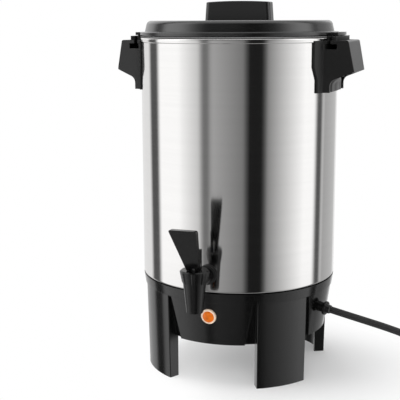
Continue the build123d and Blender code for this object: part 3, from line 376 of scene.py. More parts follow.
amberLens = finish(
    "amberLens",
    mouldGrain,
    {
        "Tint": (0.55, 0.12, 0.005, 1),
        "TintSwing": 1.2,
        "Rough": 0.16,
        "RoughSwing": 0.1,
        "PatchPerMetre": 420.0,
    },
    bump=0.05,
    Specular_IOR_Level=0.3,
    Emission_Color=(1.0, 0.19, 0.005, 1),
    Emission_Strength=0.12,
)
sealRubber = finish(
    "sealRubber",
    mouldGrain,
    {"Tint": grey(0.16), "Rough": 0.65, "RoughSwing": 0.15},
    bump=0.2,
    bumpHeight=0.00004,
)
blackRubber = finish(
    "blackRubber",
    mouldGrain,
    {"Tint": grey(0.012), "Rough": 0.5, "RoughSwing": 0.15},
    bump=0.2,
    bumpHeight=0.00004,
)
cordSleeve = finish(
    "cordSleeve",
    mouldGrain,
    {"Tint": grey(0.026), "TintSwing": 0.4, "Rough": 0.3, "RoughSwing": 0.1, "GrainPerMetre": 1800.0},
    bump=0.1,
    bumpHeight=0.00003,
    # painted shade darkens the colour in the groove between the two lobes
    slotShadeReach=0.003,
    Specular_IOR_Level=0.3,
)
tieNylon = finish(
    "tieNylon", mouldGrain, {"Tint": grey(0.02), "Rough": 0.45, "RoughSwing": 0.15}, bump=0.15, edge=0.0003
)
creamPlastic = finish(
    "creamPlastic",
    mouldGrain,
    {"Tint": (0.72, 0.66, 0.52, 1), "TintSwing": 0.12, "Rough": 0.42},
    bump=0.12,
    edge=0.0004,
)
wireSleeve = finish(
    "wireSleeve",
    mouldGrain,
    {"Tint": (0.66, 0.62, 0.52, 1), "TintSwing": 0.2, "Rough": 0.6},
    bump=0.3,
    bumpHeight=0.00005,
)
zincSheet = finish(
    "zincSheet",
    mouldGrain,
    {"Tint": grey(0.6, -0.01), "TintSwing": 0.35, "Rough": 0.36, "RoughSwing": 0.2, "PatchPerMetre": 160.0},
    metallic=1.0,
    edge=0.0003,
)
castAlloy = finish(
    "castAlloy",
    mouldGrain,
    {"Tint": grey(0.55), "TintSwing": 0.25, "Rough": 0.5, "RoughSwing": 0.2, "GrainPerMetre": 900.0},
    metallic=1.0,
    bump=0.3,
    bumpHeight=0.00008,
    edge=0.0004,
)
spunAlloy = finish(
    "spunAlloy",
    brushLines,
    {"Tint": grey(0.72), "TintSwing": 0.16, "Rough": 0.3, "RoughSwing": 0.16, "LinesPerMetre": 1800.0},
    metallic=1.0,
    bump=0.12,
    edge=0.0003,
)
elementSteel = finish(
    "elementSteel",
    mouldGrain,
    {
        "Tint": (0.3, 0.26, 0.23, 1),
        "TintSwing": 0.5,
        "Rough": 0.5,
        "RoughSwing": 0.2,
        "PatchPerMetre": 220.0,
    },
    metallic=1.0,
)
platedBrass = finish(
    "platedBrass",
    mouldGrain,
    {"Tint": (0.72, 0.62, 0.42, 1), "TintSwing": 0.15, "Rough": 0.26, "RoughSwing": 0.14},
    metallic=1.0,
    edge=0.0002,
)
screwSteel = finish(
    "screwSteel",
    mouldGrain,
    {"Tint": grey(0.58), "TintSwing": 0.25, "Rough": 0.3, "RoughSwing": 0.16, "PatchPerMetre": 400.0},
    metallic=1.0,
    edge=0.0001,
)

nodeFinishes = {
    "tank_shell": tankSteel,
    "base_housing": basePlastic,
    "handle_right": handlePlastic,
    "handle_left": handlePlastic,
    "lid_shell": lidPlastic,
    "lid_knob": lidPlastic,
    "strain_relief": tapPlastic,
    "plug_body": blackPlastic,
    "tap_body": tapPlastic,
    "tap_bonnet": tapPlastic,
    "tap_lever": tapPlastic,
    "tap_nut": tapPlastic,
    "pilot_bezel": bezelIvory,
    "pilot_lens": amberLens,
    "pilot_lamp": creamPlastic,
    "terminal_block": creamPlastic,
    "thermostat": creamPlastic,
    "wiring": wireSleeve,
    "lid_seal": sealRubber,
    "tap_outer_washer": blackRubber,
    "tap_inner_washer": sealRubber,
    "seat_cup": sealRubber,
    "bottom_cover": zincSheet,
    "tank_studs": zincSheet,
    "stud_nuts": zincSheet,
    "heater_clamp": zincSheet,
    "clamp_stud": zincSheet,
    "clamp_nut": zincSheet,
    "heater_plate": castAlloy,
    "heating_element": elementSteel,
    "thermal_fuse": spunAlloy,
    "pump_tube": spunAlloy,
    "coffee_basket": spunAlloy,
    "basket_cover": spunAlloy,
    "valve_stem": screwSteel,
    "stem_spring": screwSteel,
    "lever_pin": screwSteel,
    "plug_blades": platedBrass,
    "cord_tie": tieNylon,
}


def dressNodes():
    for name, material in nodeFinishes.items():
        mesh = nodes[name].data
        mesh.materials.clear()
        mesh.materials.append(material)


dressNodes()
print("finishes on", len(nodeFinishes), "nodes")


# Mains cord: flat twin lead that stands on edge. Lengths in metres, angles in degrees.
# The route is turned to the strain relief's side of the base.
cordPlan = {
    "turn": -12.5,
    "width": 0.0066,
    "lobeRadius": 0.0017,
    "lobeOffset": 0.0016,
    "grooveHalf": 0.0008,
    "lobeSteps": 14,
    "sharpFrom": 50,
    "lineSteps": 8,
    "length": 1.0,
    "route": [
        (0.096565, 0.0, 0.062665),
        (0.113194, 0.0, 0.060277),
        (0.1310, 0.0, 0.0578),
        (0.1495, 0.0, 0.0552),
        (0.1680, 0.0, 0.0519),
        (0.1860, 0.0, 0.0460),
        (0.2020, 0.0, 0.0370),
        (0.2160, 0.0, 0.0260),
        (0.2295, 0.0, 0.0156),
        (0.2435, 0.0, 0.0078),
        (0.2585, 0.0, 0.0045),
        (0.2720, 0.0, 0.0045),
    ],
    "coilStart": (0.2786, 0.0, 0.0045),
    "coilInner": 0.0306,
    "coilStep": 0.0072,
    "layerTurns": 1.5,
    "climbTurns": 0.5,
    "pointsPerTurn": 16,
    "tailLength": 0.030,
    "plugHeight": 0.0078,
}


def coilPoint(plan, turn):
    # In on the lower layer, up in half a turn, out on the upper layer
    outer = plan["coilInner"] + plan["layerTurns"] * plan["coilStep"]
    lean = math.atan2(plan["coilStep"], 2 * math.pi * outer)
    startAngle = -math.pi / 2 - lean
    start = Vector(plan["coilStart"])
    centre = start - Vector((outer * math.cos(startAngle), outer * math.sin(startAngle), 0))
    climb = turn - plan["layerTurns"]
    lift = 0.0
    if climb <= 0:
        radius = outer - plan["coilStep"] * turn
    elif climb < plan["climbTurns"]:
        radius = plan["coilInner"] - plan["coilStep"] * climb * (1 - climb / plan["climbTurns"])
        lift = plan["coilStep"] * (1 - math.cos(math.pi * climb / plan["climbTurns"])) / 2
    else:
        radius = plan["coilInner"] + plan["coilStep"] * (climb - plan["climbTurns"])
        lift = plan["coilStep"]
    angle = startAngle + 2 * math.pi * turn
    return centre + Vector((radius * math.cos(angle), radius * math.sin(angle), lift)), lean


def cordPoints(plan):
    points = [Vector(point) for point in plan["route"]]
    turns = 2 * plan["layerTurns"] + plan["climbTurns"]
    count = round(turns * plan["pointsPerTurn"])
    for step in range(count + 1):
        points.append(coilPoint(plan, turns * step / count)[0])
    last, lean = coilPoint(plan, turns)
    reach = plan["tailLength"] + plan["width"]
    face = Vector((last.x - reach, last.y + plan["tailLength"] * math.tan(lean), plan["plugHeight"]))
    before = face + Vector((plan["width"], 0, 0))
    points += [(last + before) / 2, before, face]
    turned = Matrix.Rotation(math.radians(plan["turn"]), 3, "Z")
    return [turned @ point for point in points]


def cordLine(points, steps):
    data = bpy.data.curves.new("cordLine", "CURVE")
    data.dimensions = "3D"
    data.resolution_u = steps
    spline = data.splines.new("NURBS")
    spline.points.add(len(points) - 1)
    for knot, point in zip(spline.points, points):
        knot.co = (*point, 1.0)
    spline.order_u = 3  # after the points, or the runs stay straight
    spline.use_endpoint_u = True
    carrier = bpy.data.objects.new("cordLine", data)
    mesh = bpy.data.meshes.new_from_object(carrier)
    line = [vertex.co.copy() for vertex in mesh.vertices]
    bpy.data.meshes.remove(mesh)
    bpy.data.objects.remove(carrier)
    return line


def twinSection(plan):
    # Two round lobes with a groove between them, across and up
    lobe = []
    dip = math.asin((plan["lobeOffset"] - plan["grooveHalf"] / 2) / plan["lobeRadius"])
    steps = plan["lobeSteps"]
    for step in range(steps + 1):
        angle = -dip + (math.pi + 2 * dip) * step / steps
        across = plan["lobeRadius"] * math.cos(angle)
        lobe.append((across, plan["lobeOffset"] + plan["lobeRadius"] * math.sin(angle)))
    lower = [(-across, -up) for across, up in lobe]
    side = plan["grooveHalf"]
    return lobe + [(-side, 0.0)] + lower + [(side, 0.0)]


def sweepTube(name, line, section, sharpFrom):
    bm = bmesh.new()
    rings = []
    for number, point in enumerate(line):
        before = line[max(number - 1, 0)]
        after = line[min(number + 1, len(line) - 1)]
        ahead = (after - before).normalized()
        across = ahead.cross(Vector((0, 0, 1))).normalized()
        up = across.cross(ahead)
        rings.append([bm.verts.new(point + across * x + up * y) for x, y in section])
    count = len(section)
    for first, second in zip(rings, rings[1:]):
        for number in range(count):
            other = (number + 1) % count
            bm.faces.new((first[number], first[other], second[other], second[number]))
    bm.faces.new(rings[0][::-1])
    bm.faces.new(rings[-1])
    bmesh.ops.recalc_face_normals(bm, faces=bm.faces)
    mesh = meshFrom(name, bm)
    smoothByAngle(mesh, sharpFrom)
    return mesh


cordRun = cordLine(cordPoints(cordPlan), cordPlan["lineSteps"])
cordMesh = sweepTube("mainsCord", cordRun, twinSection(cordPlan), cordPlan["sharpFrom"])
mainsCord = addPiece("mainsCord", cordMesh, cordSleeve)
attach(mainsCord, "urn")
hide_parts("cord", "cord_coil")
print("cord laid with", len(cordRun), "points")


# Turned pieces: outlines of radius, height and corner round, finer than the solids' own facets
def roundedOutline(corners, steps=6):
    points = []
    for number, (radius, z, bend) in enumerate(corners):
        here = Vector((radius, z))
        if bend == 0:
            points.append((radius, z))
            continue
        back = (Vector(corners[number - 1][:2]) - here).normalized()
        ahead = (Vector(corners[(number + 1) % len(corners)][:2]) - here).normalized()
        half = back.angle(ahead) / 2
        centre = here + (back + ahead).normalized() * (bend / math.sin(half))
        start = here + back * (bend / math.tan(half)) - centre
        end = here + ahead * (bend / math.tan(half)) - centre
        for step in range(steps + 1):
            point = centre + start.lerp(end, step / steps).normalized() * bend
            points.append((point.x, point.y))
    return points


def turnInto(bm, profile, segments, axis=(0.0, 0.0)):
    middle = Vector((axis[0], axis[1], 0))
    rings = []
    for step in range(segments):
        angle = 2 * math.pi * step / segments
        way = Vector((math.cos(angle), math.sin(angle), 0))
        rings.append([bm.verts.new(middle + way * radius + Vector((0, 0, z))) for radius, z in profile])
    count = len(profile)
    for step in range(segments):
        first = rings[step]
        second = rings[(step + 1) % segments]
        for number in range(count):
            other = (number + 1) % count
            bm.faces.new((first[number], second[number], second[other], first[other]))


def sectorInto(bm, inner, outer, low, high, halfAngle, middle, steps=10):
    # Block between two radii, two heights and two angles
    rings = []
    for step in range(steps + 1):
        angle = math.radians(middle - halfAngle + 2 * halfAngle * step / steps)
        way = Vector((math.cos(angle), math.sin(angle), 0))
        corners = ((inner, low), (outer, low), (outer, high), (inner, high))
        rings.append([bm.verts.new(way * radius + Vector((0, 0, z))) for radius, z in corners])
    for first, second in zip(rings, rings[1:]):
        for number in range(len(first)):
            other = (number + 1) % len(first)
            bm.faces.new((first[number], second[number], second[other], first[other]))
    bm.faces.new(rings[0])
    bm.faces.new(rings[-1][::-1])


def closeMesh(name, bm, mergeWithin=1e-7):
    bmesh.ops.remove_doubles(bm, verts=bm.verts, dist=mergeWithin)
    bmesh.ops.recalc_face_normals(bm, faces=bm.faces)
    mesh = meshFrom(name, bm)
    smoothByAngle(mesh)
    return mesh


tankPlan = {
    "radius": 0.0900,
    "wall": 0.0008,
    "floor": 0.0010,
    "low": 0.0880,
    "high": 0.3070,
    "bottomRound": 0.0025,
    "rimHeight": 0.0042,
    "rimBulge": 0.0010,
    "rimDepth": 0.0026,
    "rimRound": 0.0012,
    "rimFoot": 0.0009,
    "wellRadius": 0.0300,
    "wellDepth": 0.0080,
    "segments": 192,
}


def makeTank(plan):
    inside = plan["radius"] - plan["wall"]
    floorTop = plan["low"] + plan["floor"]
    rimLow = plan["high"] - plan["rimHeight"]
    rimOuter = plan["radius"] + plan["rimBulge"]
    rimInner = rimOuter - plan["rimDepth"]
    wellLow = plan["low"] - plan["wellDepth"]
    wellTop = wellLow + plan["floor"]
    wellInside = plan["wellRadius"] - plan["floor"]
    corners = [
        (0.0, wellLow, 0),
        (plan["wellRadius"], wellLow, 0),
        (plan["wellRadius"], plan["low"], 0),
        (plan["radius"], plan["low"], plan["bottomRound"]),
        (plan["radius"], rimLow, 0),
        (rimOuter, rimLow, plan["rimFoot"]),
        (rimOuter, plan["high"], plan["rimRound"]),
        (rimInner, plan["high"], plan["rimRound"]),
        (rimInner, rimLow, 0),
        (inside, rimLow, 0),
        (inside, floorTop, plan["bottomRound"] - plan["wall"]),
        (wellInside, floorTop, 0),
        (wellInside, wellTop, 0),
        (0.0, wellTop, 0),
    ]
    shape = bmesh.new()
    turnInto(shape, roundedOutline(corners), plan["segments"])
    tank = addPiece("steelTank", closeMesh("steelTank", shape), tankSteel)
    tank.data.materials.append(tankSatin)
    insideFacing = 0.5  # least part of an inside face's normal that points up or to the axis
    for face in tank.data.polygons:
        outward = face.normal.xy.dot(face.center.xy.normalized())
        if face.center.z < rimLow and max(face.normal.z, -outward) > insideFacing:
            face.material_index = 1  # satin inside
    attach(tank, "urn")
    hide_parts("tank_shell")


makeTank(tankPlan)

lidPlan = {
    "flangeRadius": 0.0906,
    "flangeLow": 0.3086,
    "flangeHigh": 0.3120,
    "flangeRound": 0.0007,
    "sideRadius": 0.0864,
    "shoulderRadius": 0.0840,
    "top": 0.3220,
    "wall": 0.0024,
    "topRound": 0.0042,
    "spigotOuter": 0.0864,
    "spigotInner": 0.0844,
    "spigotLow": 0.3041,
    "segments": 192,
}
lugPlan = {
    "reach": 0.0972,
    "low": 0.3090,
    "high": 0.3116,
    "halfAngle": 11.0,
    "webRadius": 0.0950,
    "webHalf": 0.0008,
    "webLow": 0.2984,
    "webHalfAngle": 9.0,
    "angles": (0, 180),
}


def makeLid(plan, lug):
    under = plan["top"] - plan["wall"]
    corners = [
        (plan["sideRadius"] - plan["wall"], plan["flangeLow"], 0),
        (plan["spigotInner"], plan["flangeLow"], 0),
        (plan["spigotInner"], plan["spigotLow"], 0),
        (plan["spigotOuter"], plan["spigotLow"], 0),
        (plan["spigotOuter"], plan["flangeLow"], 0),
        (plan["flangeRadius"], plan["flangeLow"], plan["flangeRound"]),
        (plan["flangeRadius"], plan["flangeHigh"], plan["flangeRound"]),
        (plan["sideRadius"], plan["flangeHigh"], plan["flangeRound"]),
        (plan["shoulderRadius"], plan["top"], plan["topRound"]),
        (0.0, plan["top"], 0),
        (0.0, under, 0),
        (plan["shoulderRadius"] - plan["wall"], under, plan["topRound"] - plan["wall"]),
    ]
    shape = bmesh.new()
    turnInto(shape, roundedOutline(corners), plan["segments"])
    inner = lug["webRadius"] - lug["webHalf"]
    outer = lug["webRadius"] + lug["webHalf"]
    webHigh = lug["high"] - lug["webHalf"]
    root = plan["spigotOuter"]
    for angle in lug["angles"]:
        sectorInto(shape, root, lug["reach"], lug["low"], lug["high"], lug["halfAngle"], angle)
        sectorInto(shape, inner, outer, lug["webLow"], webHigh, lug["webHalfAngle"], angle)
    lid = addPiece("lidBody", closeMesh("lidBody", shape), lidPlastic)
    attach(lid, "lid")
    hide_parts("lid_shell")


makeLid(lidPlan, lugPlan)
print("tank and lid turned")


# Geometry Nodes: trees for what repeats
def newTree(name, inputs):
    tree = bpy.data.node_groups.new(name, "GeometryNodeTree")
    tree.interface.new_socket(name="Geometry", in_out="INPUT", socket_type="NodeSocketGeometry")
    for label, kind in inputs:
        tree.interface.new_socket(name=label, in_out="INPUT", socket_type=kind)
    tree.interface.new_socket(name="Geometry", in_out="OUTPUT", socket_type="NodeSocketGeometry")
    return tree, tree.nodes.new("NodeGroupInput"), tree.nodes.new("NodeGroupOutput")


def closeTree(tree, geometry, material, made):
    real = addNode(tree, "GeometryNodeRealizeInstances", {"Geometry": geometry})
    coated = addNode(tree, "GeometryNodeSetMaterial", {"Geometry": real.outputs[0], "Material": material})
    tree.links.new(coated.outputs[0], made.inputs["Geometry"])


def coneNode(tree, sides, bottom, top, height):
    inputs = {"Vertices": sides, "Radius Bottom": bottom, "Radius Top": top, "Depth": height}
    return addNode(tree, "GeometryNodeMeshCone", inputs).outputs["Mesh"]


def moveNode(tree, geometry, **inputs):
    return addNode(tree, "GeometryNodeTransform", {"Geometry": geometry, **inputs}).outputs[0]


def booleanNode(tree, operation, parts, body=None):
    node = addNode(tree, "GeometryNodeMeshBoolean", operation=operation)
    if body is not None:
        tree.links.new(body, node.inputs["Mesh 1"])
    for part in parts:
        tree.links.new(part, node.inputs["Mesh 2"])
    return node.outputs["Mesh"]


def setOnPoints(tree, points, shape, way, **settings):
    # One copy of the shape on each point, turned the way given there
    aim = addNode(tree, "FunctionNodeAlignRotationToVector", {"Vector": way}, **settings).outputs[0]
    inputs = {"Points": points, "Instance": shape, "Rotation": aim}
    return addNode(tree, "GeometryNodeInstanceOnPoints", inputs).outputs[0]


def setOnSeats(tree, seats, shape):
    points = addNode(tree, "GeometryNodeMeshToPoints", {"Mesh": seats}).outputs[0]
    axis = addNode(tree, "GeometryNodeInputNamedAttribute", {"Name": "axis"}, data_type="FLOAT_VECTOR")
    return setOnPoints(tree, points, shape, axis.outputs["Attribute"], axis="Z")


def growPiece(name, seedMesh, tree, values):
    piece = addPiece(name, seedMesh)
    modifier = piece.modifiers.new(tree.name, "NODES")
    modifier.node_group = tree
    for item in tree.interface.items_tree:
        if item.in_out == "INPUT" and item.name in values:
            modifier[item.identifier] = values[item.name]
    graph = bpy.context.evaluated_depsgraph_get()
    mesh = bpy.data.meshes.new_from_object(piece.evaluated_get(graph))
    piece.modifiers.clear()
    piece.data = mesh
    mesh.name = name
    smoothByAngle(mesh)
    return piece


# Screws with cross recesses: shares of each screw's own sizes, and sides round
crossHead = {
    "rim": 0.45,
    "crown": 0.62,
    "tip": 0.8,
    "armLong": 1.1,
    "armWide": 0.26,
    "armDeep": 1.2,
    "headSides": 28,
    "shankSides": 20,
}


def screwTree(plan):
    tree, given, made = newTree(
        "crossScrews",
        [
            ("headRadius", "NodeSocketFloat"),
            ("headHeight", "NodeSocketFloat"),
            ("shankRadius", "NodeSocketFloat"),
            ("shankLength", "NodeSocketFloat"),
            ("material", "NodeSocketMaterial"),
        ],
    )
    size = given.outputs

    def share(label, part):
        return mathNode(tree, "MULTIPLY", size[label], plan[part])

    radius = size["headRadius"]
    rimHeight = share("headHeight", "rim")
    crownHeight = mathNode(tree, "SUBTRACT", size["headHeight"], rimHeight)
    rim = coneNode(tree, plan["headSides"], radius, radius, rimHeight)
    crown = coneNode(tree, plan["headSides"], radius, share("headRadius", "crown"), crownHeight)
    crown = moveNode(tree, crown, Translation=xyzNode(tree, Z=rimHeight))
    tip = share("shankRadius", "tip")
    shank = coneNode(tree, plan["shankSides"], tip, size["shankRadius"], size["shankLength"])
    shankDown = mathNode(tree, "MULTIPLY", size["shankLength"], -1.0)
    shank = moveNode(tree, shank, Translation=xyzNode(tree, Z=shankDown))
    solid = booleanNode(tree, "UNION", [rim, crown, shank])
    armLong = share("headRadius", "armLong")
    armWide = share("headRadius", "armWide")
    armDeep = share("headHeight", "armDeep")
    top = xyzNode(tree, Z=size["headHeight"])
    arms = []
    for across, along in ((armLong, armWide), (armWide, armLong)):
        span = xyzNode(tree, X=across, Y=along, Z=armDeep)
        arm = addNode(tree, "GeometryNodeMeshCube", {"Size": span}).outputs["Mesh"]
        arms.append(moveNode(tree, arm, Translation=top))
    cut = booleanNode(tree, "DIFFERENCE", arms, solid)
    closeTree(tree, setOnSeats(tree, size["Geometry"], cut), size["material"], made)
    return tree


def seatMesh(name, seats):
    # One vertex for each screw seat, with the way its head faces
    mesh = bpy.data.meshes.new(name)
    mesh.from_pydata([seat for seat, axis in seats], [], [])
    ways = mesh.attributes.new("axis", "FLOAT_VECTOR", "POINT")
    for entry, (seat, axis) in zip(ways.data, seats):
        entry.vector = axis
    return mesh


def around(radius, angle, z):
    return Vector((radius * math.cos(math.radians(angle)), radius * math.sin(math.radians(angle)), z))


crossScrews = screwTree(crossHead)

coverScrews = {"headRadius": 0.003, "headHeight": 0.002, "shankRadius": 0.0014, "shankLength": 0.0136}
coverSeats = {"place": 0.064, "angles": (90, 210, 330), "z": 0.0399}
knobScrews = {"headRadius": 0.003, "headHeight": 0.0018, "shankRadius": 0.0015, "shankLength": 0.0124}
knobSeats = {"place": 0.018, "z": 0.3196}
handleScrews = {"headRadius": 0.0034, "headHeight": 0.002, "shankRadius": 0.0016, "shankLength": 0.0056}
handleSeats = {"place": 0.0889, "angles": (-12, 12, 168, 192), "z": 0.284}
terminalScrews = {"headRadius": 0.002, "headHeight": 0.0016, "shankRadius": 0.001, "shankLength": 0.0001}
terminalSeats = {"x": (0.036, 0.048), "y": (-0.008, 0.008), "z": 0.0525}

down = Vector((0, 0, -1))
up = Vector((0, 0, 1))
screwGroups = [
    (
        "coverScrews",
        "bottom_screws",
        "urn",
        coverScrews,
        [(around(coverSeats["place"], angle, coverSeats["z"]), down) for angle in coverSeats["angles"]],
    ),
    (
        "knobScrews",
        "knob_screws",
        "lid",
        knobScrews,
        [(Vector((side * knobSeats["place"], 0, knobSeats["z"])), down) for side in (-1, 1)],
    ),
    (
        "handleScrews",
        "handle_screws",
        "urn",
        handleScrews,
        [
            (around(handleSeats["place"], angle, handleSeats["z"]), around(-1, angle, 0))
            for angle in handleSeats["angles"]
        ],
    ),
    (
        "terminalScrews",
        "terminal_screws",
        "urn",
        terminalScrews,
        [(Vector((x, y, terminalSeats["z"])), up) for x in terminalSeats["x"] for y in terminalSeats["y"]],
    ),
]
for name, node, body, sizes, seats in screwGroups:
    screws = growPiece(name, seatMesh(name, seats), crossScrews, {**sizes, "material": screwSteel})
    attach(screws, body)
    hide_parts(node)
print("screws set in", len(screwGroups), "groups")


# Plug grips: upright bars on both flanks and rings round the neck, in the cord's turned frame
plugGrip = {
    "barRadius": 0.0009,
    "barLength": 0.0100,
    "barsFrom": 0.0140,
    "barStep": 0.0030,
    "barCount": 5,
    "flank": 0.0120,
    "ringRadius": 0.0052,
    "ringLength": 0.0012,
    "ringsFrom": 0.0014,
    "ringStep": 0.0024,
    "ringCount": 3,
    "sides": 24,
}


def gripTree(sides):
    tree, given, made = newTree(
        "gripBars",
        [
            ("barRadius", "NodeSocketFloat"),
            ("barLength", "NodeSocketFloat"),
            ("material", "NodeSocketMaterial"),
        ],
    )
    size = given.outputs
    inputs = {"Vertices": sides, "Radius": size["barRadius"], "Depth": size["barLength"]}
    bar = addNode(tree, "GeometryNodeMeshCylinder", inputs).outputs["Mesh"]
    closeTree(tree, setOnSeats(tree, size["Geometry"], bar), size["material"], made)
    return tree


def makePlugGrip(plan):
    turned = Matrix.Rotation(math.radians(cordPlan["turn"]), 3, "Z")
    face = turned.inverted() @ cordRun[-1]
    bars = []
    for number in range(plan["barCount"]):
        along = plan["barsFrom"] + number * plan["barStep"]
        for side in (-1, 1):
            bars.append((turned @ (face + Vector((-along, side * plan["flank"], 0))), up))
    rings = []
    for number in range(plan["ringCount"]):
        along = plan["ringsFrom"] + number * plan["ringStep"]
        rings.append((turned @ (face + Vector((-along, 0, 0))), turned @ Vector((1, 0, 0))))
    tree = gripTree(plan["sides"])
    made = []
    for name, seats, part in (("plugBars", bars, "bar"), ("plugRings", rings, "ring")):
        values = {"barRadius": plan[part + "Radius"], "barLength": plan[part + "Length"]}
        values["material"] = blackPlastic
        piece = growPiece(name, seatMesh(name, seats), tree, values)
        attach(piece, "urn")
        made.append(piece)
    return made


plugGrips = makePlugGrip(plugGrip)
cordEnd = [nodes["plug_body"], nodes["plug_blades"], nodes["cord_tie"], *plugGrips]
for piece in [mainsCord, *cordEnd]:
    piece.visible_glossy = False  # no dark smudge of the cord in the steel
print("plug grips set")


# Tap bonnet: turned cap that flares upward, with a ring of round ribs
bonnetPlan = {
    "axis": (0.0, -0.122),
    "low": 0.107,
    "high": 0.1175,
    "radius": 0.0104,
    "flare": 0.0121,
    "edge": 0.0009,
    "bore": 0.0081,
    "boreTop": 0.1151,
    "stemBore": 0.00205,
    "segments": 64,
}
bonnetRibs = {
    "ribCount": 8,
    "ribReach": 0.0108,
    "ribRadius": 0.0016,
    "ribHeight": 0.0101,
    "ribLean": math.radians(11.5),
    "ringTurn": math.radians(12.5),
}
ribTop = {"height": 0.5, "radius": 0.6, "sides": 20}  # shares of a rib's radius, and sides round


def ribRingTree(top):
    tree, given, made = newTree(
        "ribRing",
        [
            ("ribCount", "NodeSocketInt"),
            ("ribReach", "NodeSocketFloat"),
            ("ribRadius", "NodeSocketFloat"),
            ("ribHeight", "NodeSocketFloat"),
            ("ribLean", "NodeSocketFloat"),
            ("ringTurn", "NodeSocketFloat"),
            ("ringPlace", "NodeSocketVector"),
            ("material", "NodeSocketMaterial"),
        ],
    )
    size = given.outputs
    radius = size["ribRadius"]
    topHeight = mathNode(tree, "MULTIPLY", radius, top["height"])
    topRadius = mathNode(tree, "MULTIPLY", radius, top["radius"])
    barHeight = mathNode(tree, "SUBTRACT", size["ribHeight"], topHeight)
    bar = coneNode(tree, top["sides"], radius, radius, barHeight)
    cap = coneNode(tree, top["sides"], radius, topRadius, topHeight)
    cap = moveNode(tree, cap, Translation=xyzNode(tree, Z=barHeight))
    rib = booleanNode(tree, "UNION", [bar, cap])
    rib = moveNode(tree, rib, Rotation=xyzNode(tree, Y=size["ribLean"]))
    reach = mathNode(tree, "SUBTRACT", size["ribReach"], radius)
    circle = addNode(tree, "GeometryNodeMeshCircle", {"Vertices": size["ribCount"], "Radius": reach})
    spin = xyzNode(tree, Z=size["ringTurn"])
    ring = moveNode(tree, circle.outputs["Mesh"], Translation=size["ringPlace"], Rotation=spin)
    spot = addNode(tree, "GeometryNodeInputPosition").outputs[0]
    outward = vectorNode(tree, "SUBTRACT", spot, size["ringPlace"])
    placed = setOnPoints(tree, ring, rib, outward, axis="X", pivot_axis="Z")
    both = addNode(tree, "GeometryNodeJoinGeometry")
    tree.links.new(size["Geometry"], both.inputs[0])
    tree.links.new(placed, both.inputs[0])
    closeTree(tree, both.outputs[0], size["material"], made)
    return tree


def makeBonnet(plan, ribs):
    profile = [
        (plan["bore"], plan["low"]),
        (plan["radius"], plan["low"]),
        (plan["flare"], plan["high"] - plan["edge"]),
        (plan["flare"] - plan["edge"], plan["high"]),
        (plan["stemBore"], plan["high"]),
        (plan["stemBore"], plan["boreTop"]),
        (plan["bore"], plan["boreTop"]),
    ]
    shape = bmesh.new()
    turnInto(shape, profile, plan["segments"], plan["axis"])
    cap = closeMesh("ribbedBonnet", shape)
    values = {**ribs, "ringPlace": (*plan["axis"], plan["low"]), "material": tapPlastic}
    bonnet = growPiece("ribbedBonnet", cap, ribRingTree(ribTop), values)
    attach(bonnet, "urn")
    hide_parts("tap_bonnet")


makeBonnet(bonnetPlan, bonnetRibs)
print("bonnet ribbed")


# Return spring in the bonnet: a wound wire at one fixed length; the real one shortens as the stem lifts
springPlan = {"axis": (0.0, -0.122), "low": 0.1051, "high": 0.115, "keep": 0.705}
springWire = {"coilRadius": 0.0043, "wireRadius": 0.0004, "turns": 4.0}
springSteps = {"turn": 40, "wire": 12}  # points along each turn and round the wire


def springTree(steps):
    tree, given, made = newTree(
        "woundSpring",
        [
            ("coilRadius", "NodeSocketFloat"),
            ("wireRadius", "NodeSocketFloat"),
            ("turns", "NodeSocketFloat"),
            ("climb", "NodeSocketFloat"),
            ("foot", "NodeSocketVector"),
            ("material", "NodeSocketMaterial"),
        ],
    )
    size = given.outputs
    inputs = {"Resolution": steps["turn"], "Rotations": size["turns"], "Height": size["climb"]}
    inputs["Start Radius"] = size["coilRadius"]
    inputs["End Radius"] = size["coilRadius"]
    coil = addNode(tree, "GeometryNodeCurveSpiral", inputs).outputs["Curve"]
    inputs = {"Resolution": steps["wire"], "Radius": size["wireRadius"]}
    wire = addNode(tree, "GeometryNodeCurvePrimitiveCircle", inputs).outputs["Curve"]
    inputs = {"Curve": coil, "Profile Curve": wire, "Fill Caps": True}
    swept = addNode(tree, "GeometryNodeCurveToMesh", inputs).outputs["Mesh"]
    stood = moveNode(tree, swept, Translation=size["foot"])
    closeTree(tree, stood, size["material"], made)
    return tree


def makeSpring(plan, wire):
    climb = plan["high"] - plan["low"] - 2 * wire["wireRadius"]
    foot = (*plan["axis"], plan["low"] + wire["wireRadius"])
    values = {**wire, "climb": climb, "foot": foot, "material": screwSteel}
    seed = bpy.data.meshes.new("returnSpring")
    spring = growPiece("returnSpring", seed, springTree(springSteps), values)
    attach(spring, "urn")
    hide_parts("stem_spring")
    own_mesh(spring)


makeSpring(springPlan, springWire)
print("spring wound")


# Stage: pale floor, soft lamps and a ring of reflector cards for the steel to mirror
floorPlan = {
    "reach": 4.0,
    "segments": 64,
    "near": 0.03,
    "far": 0.2,
    "lift": 0.2,
    "level": 0.93,
    "rough": 0.7,
    "centre": (0.06, 0.0, 0.0),
}


def seenRays(tree, rays):
    # 1 for what the camera sees, also in a mirror or through glass
    seen = mathNode(tree, "MAXIMUM", rays["Is Camera Ray"], rays["Is Glossy Ray"])
    return mathNode(tree, "MAXIMUM", seen, rays["Is Transmission Ray"])


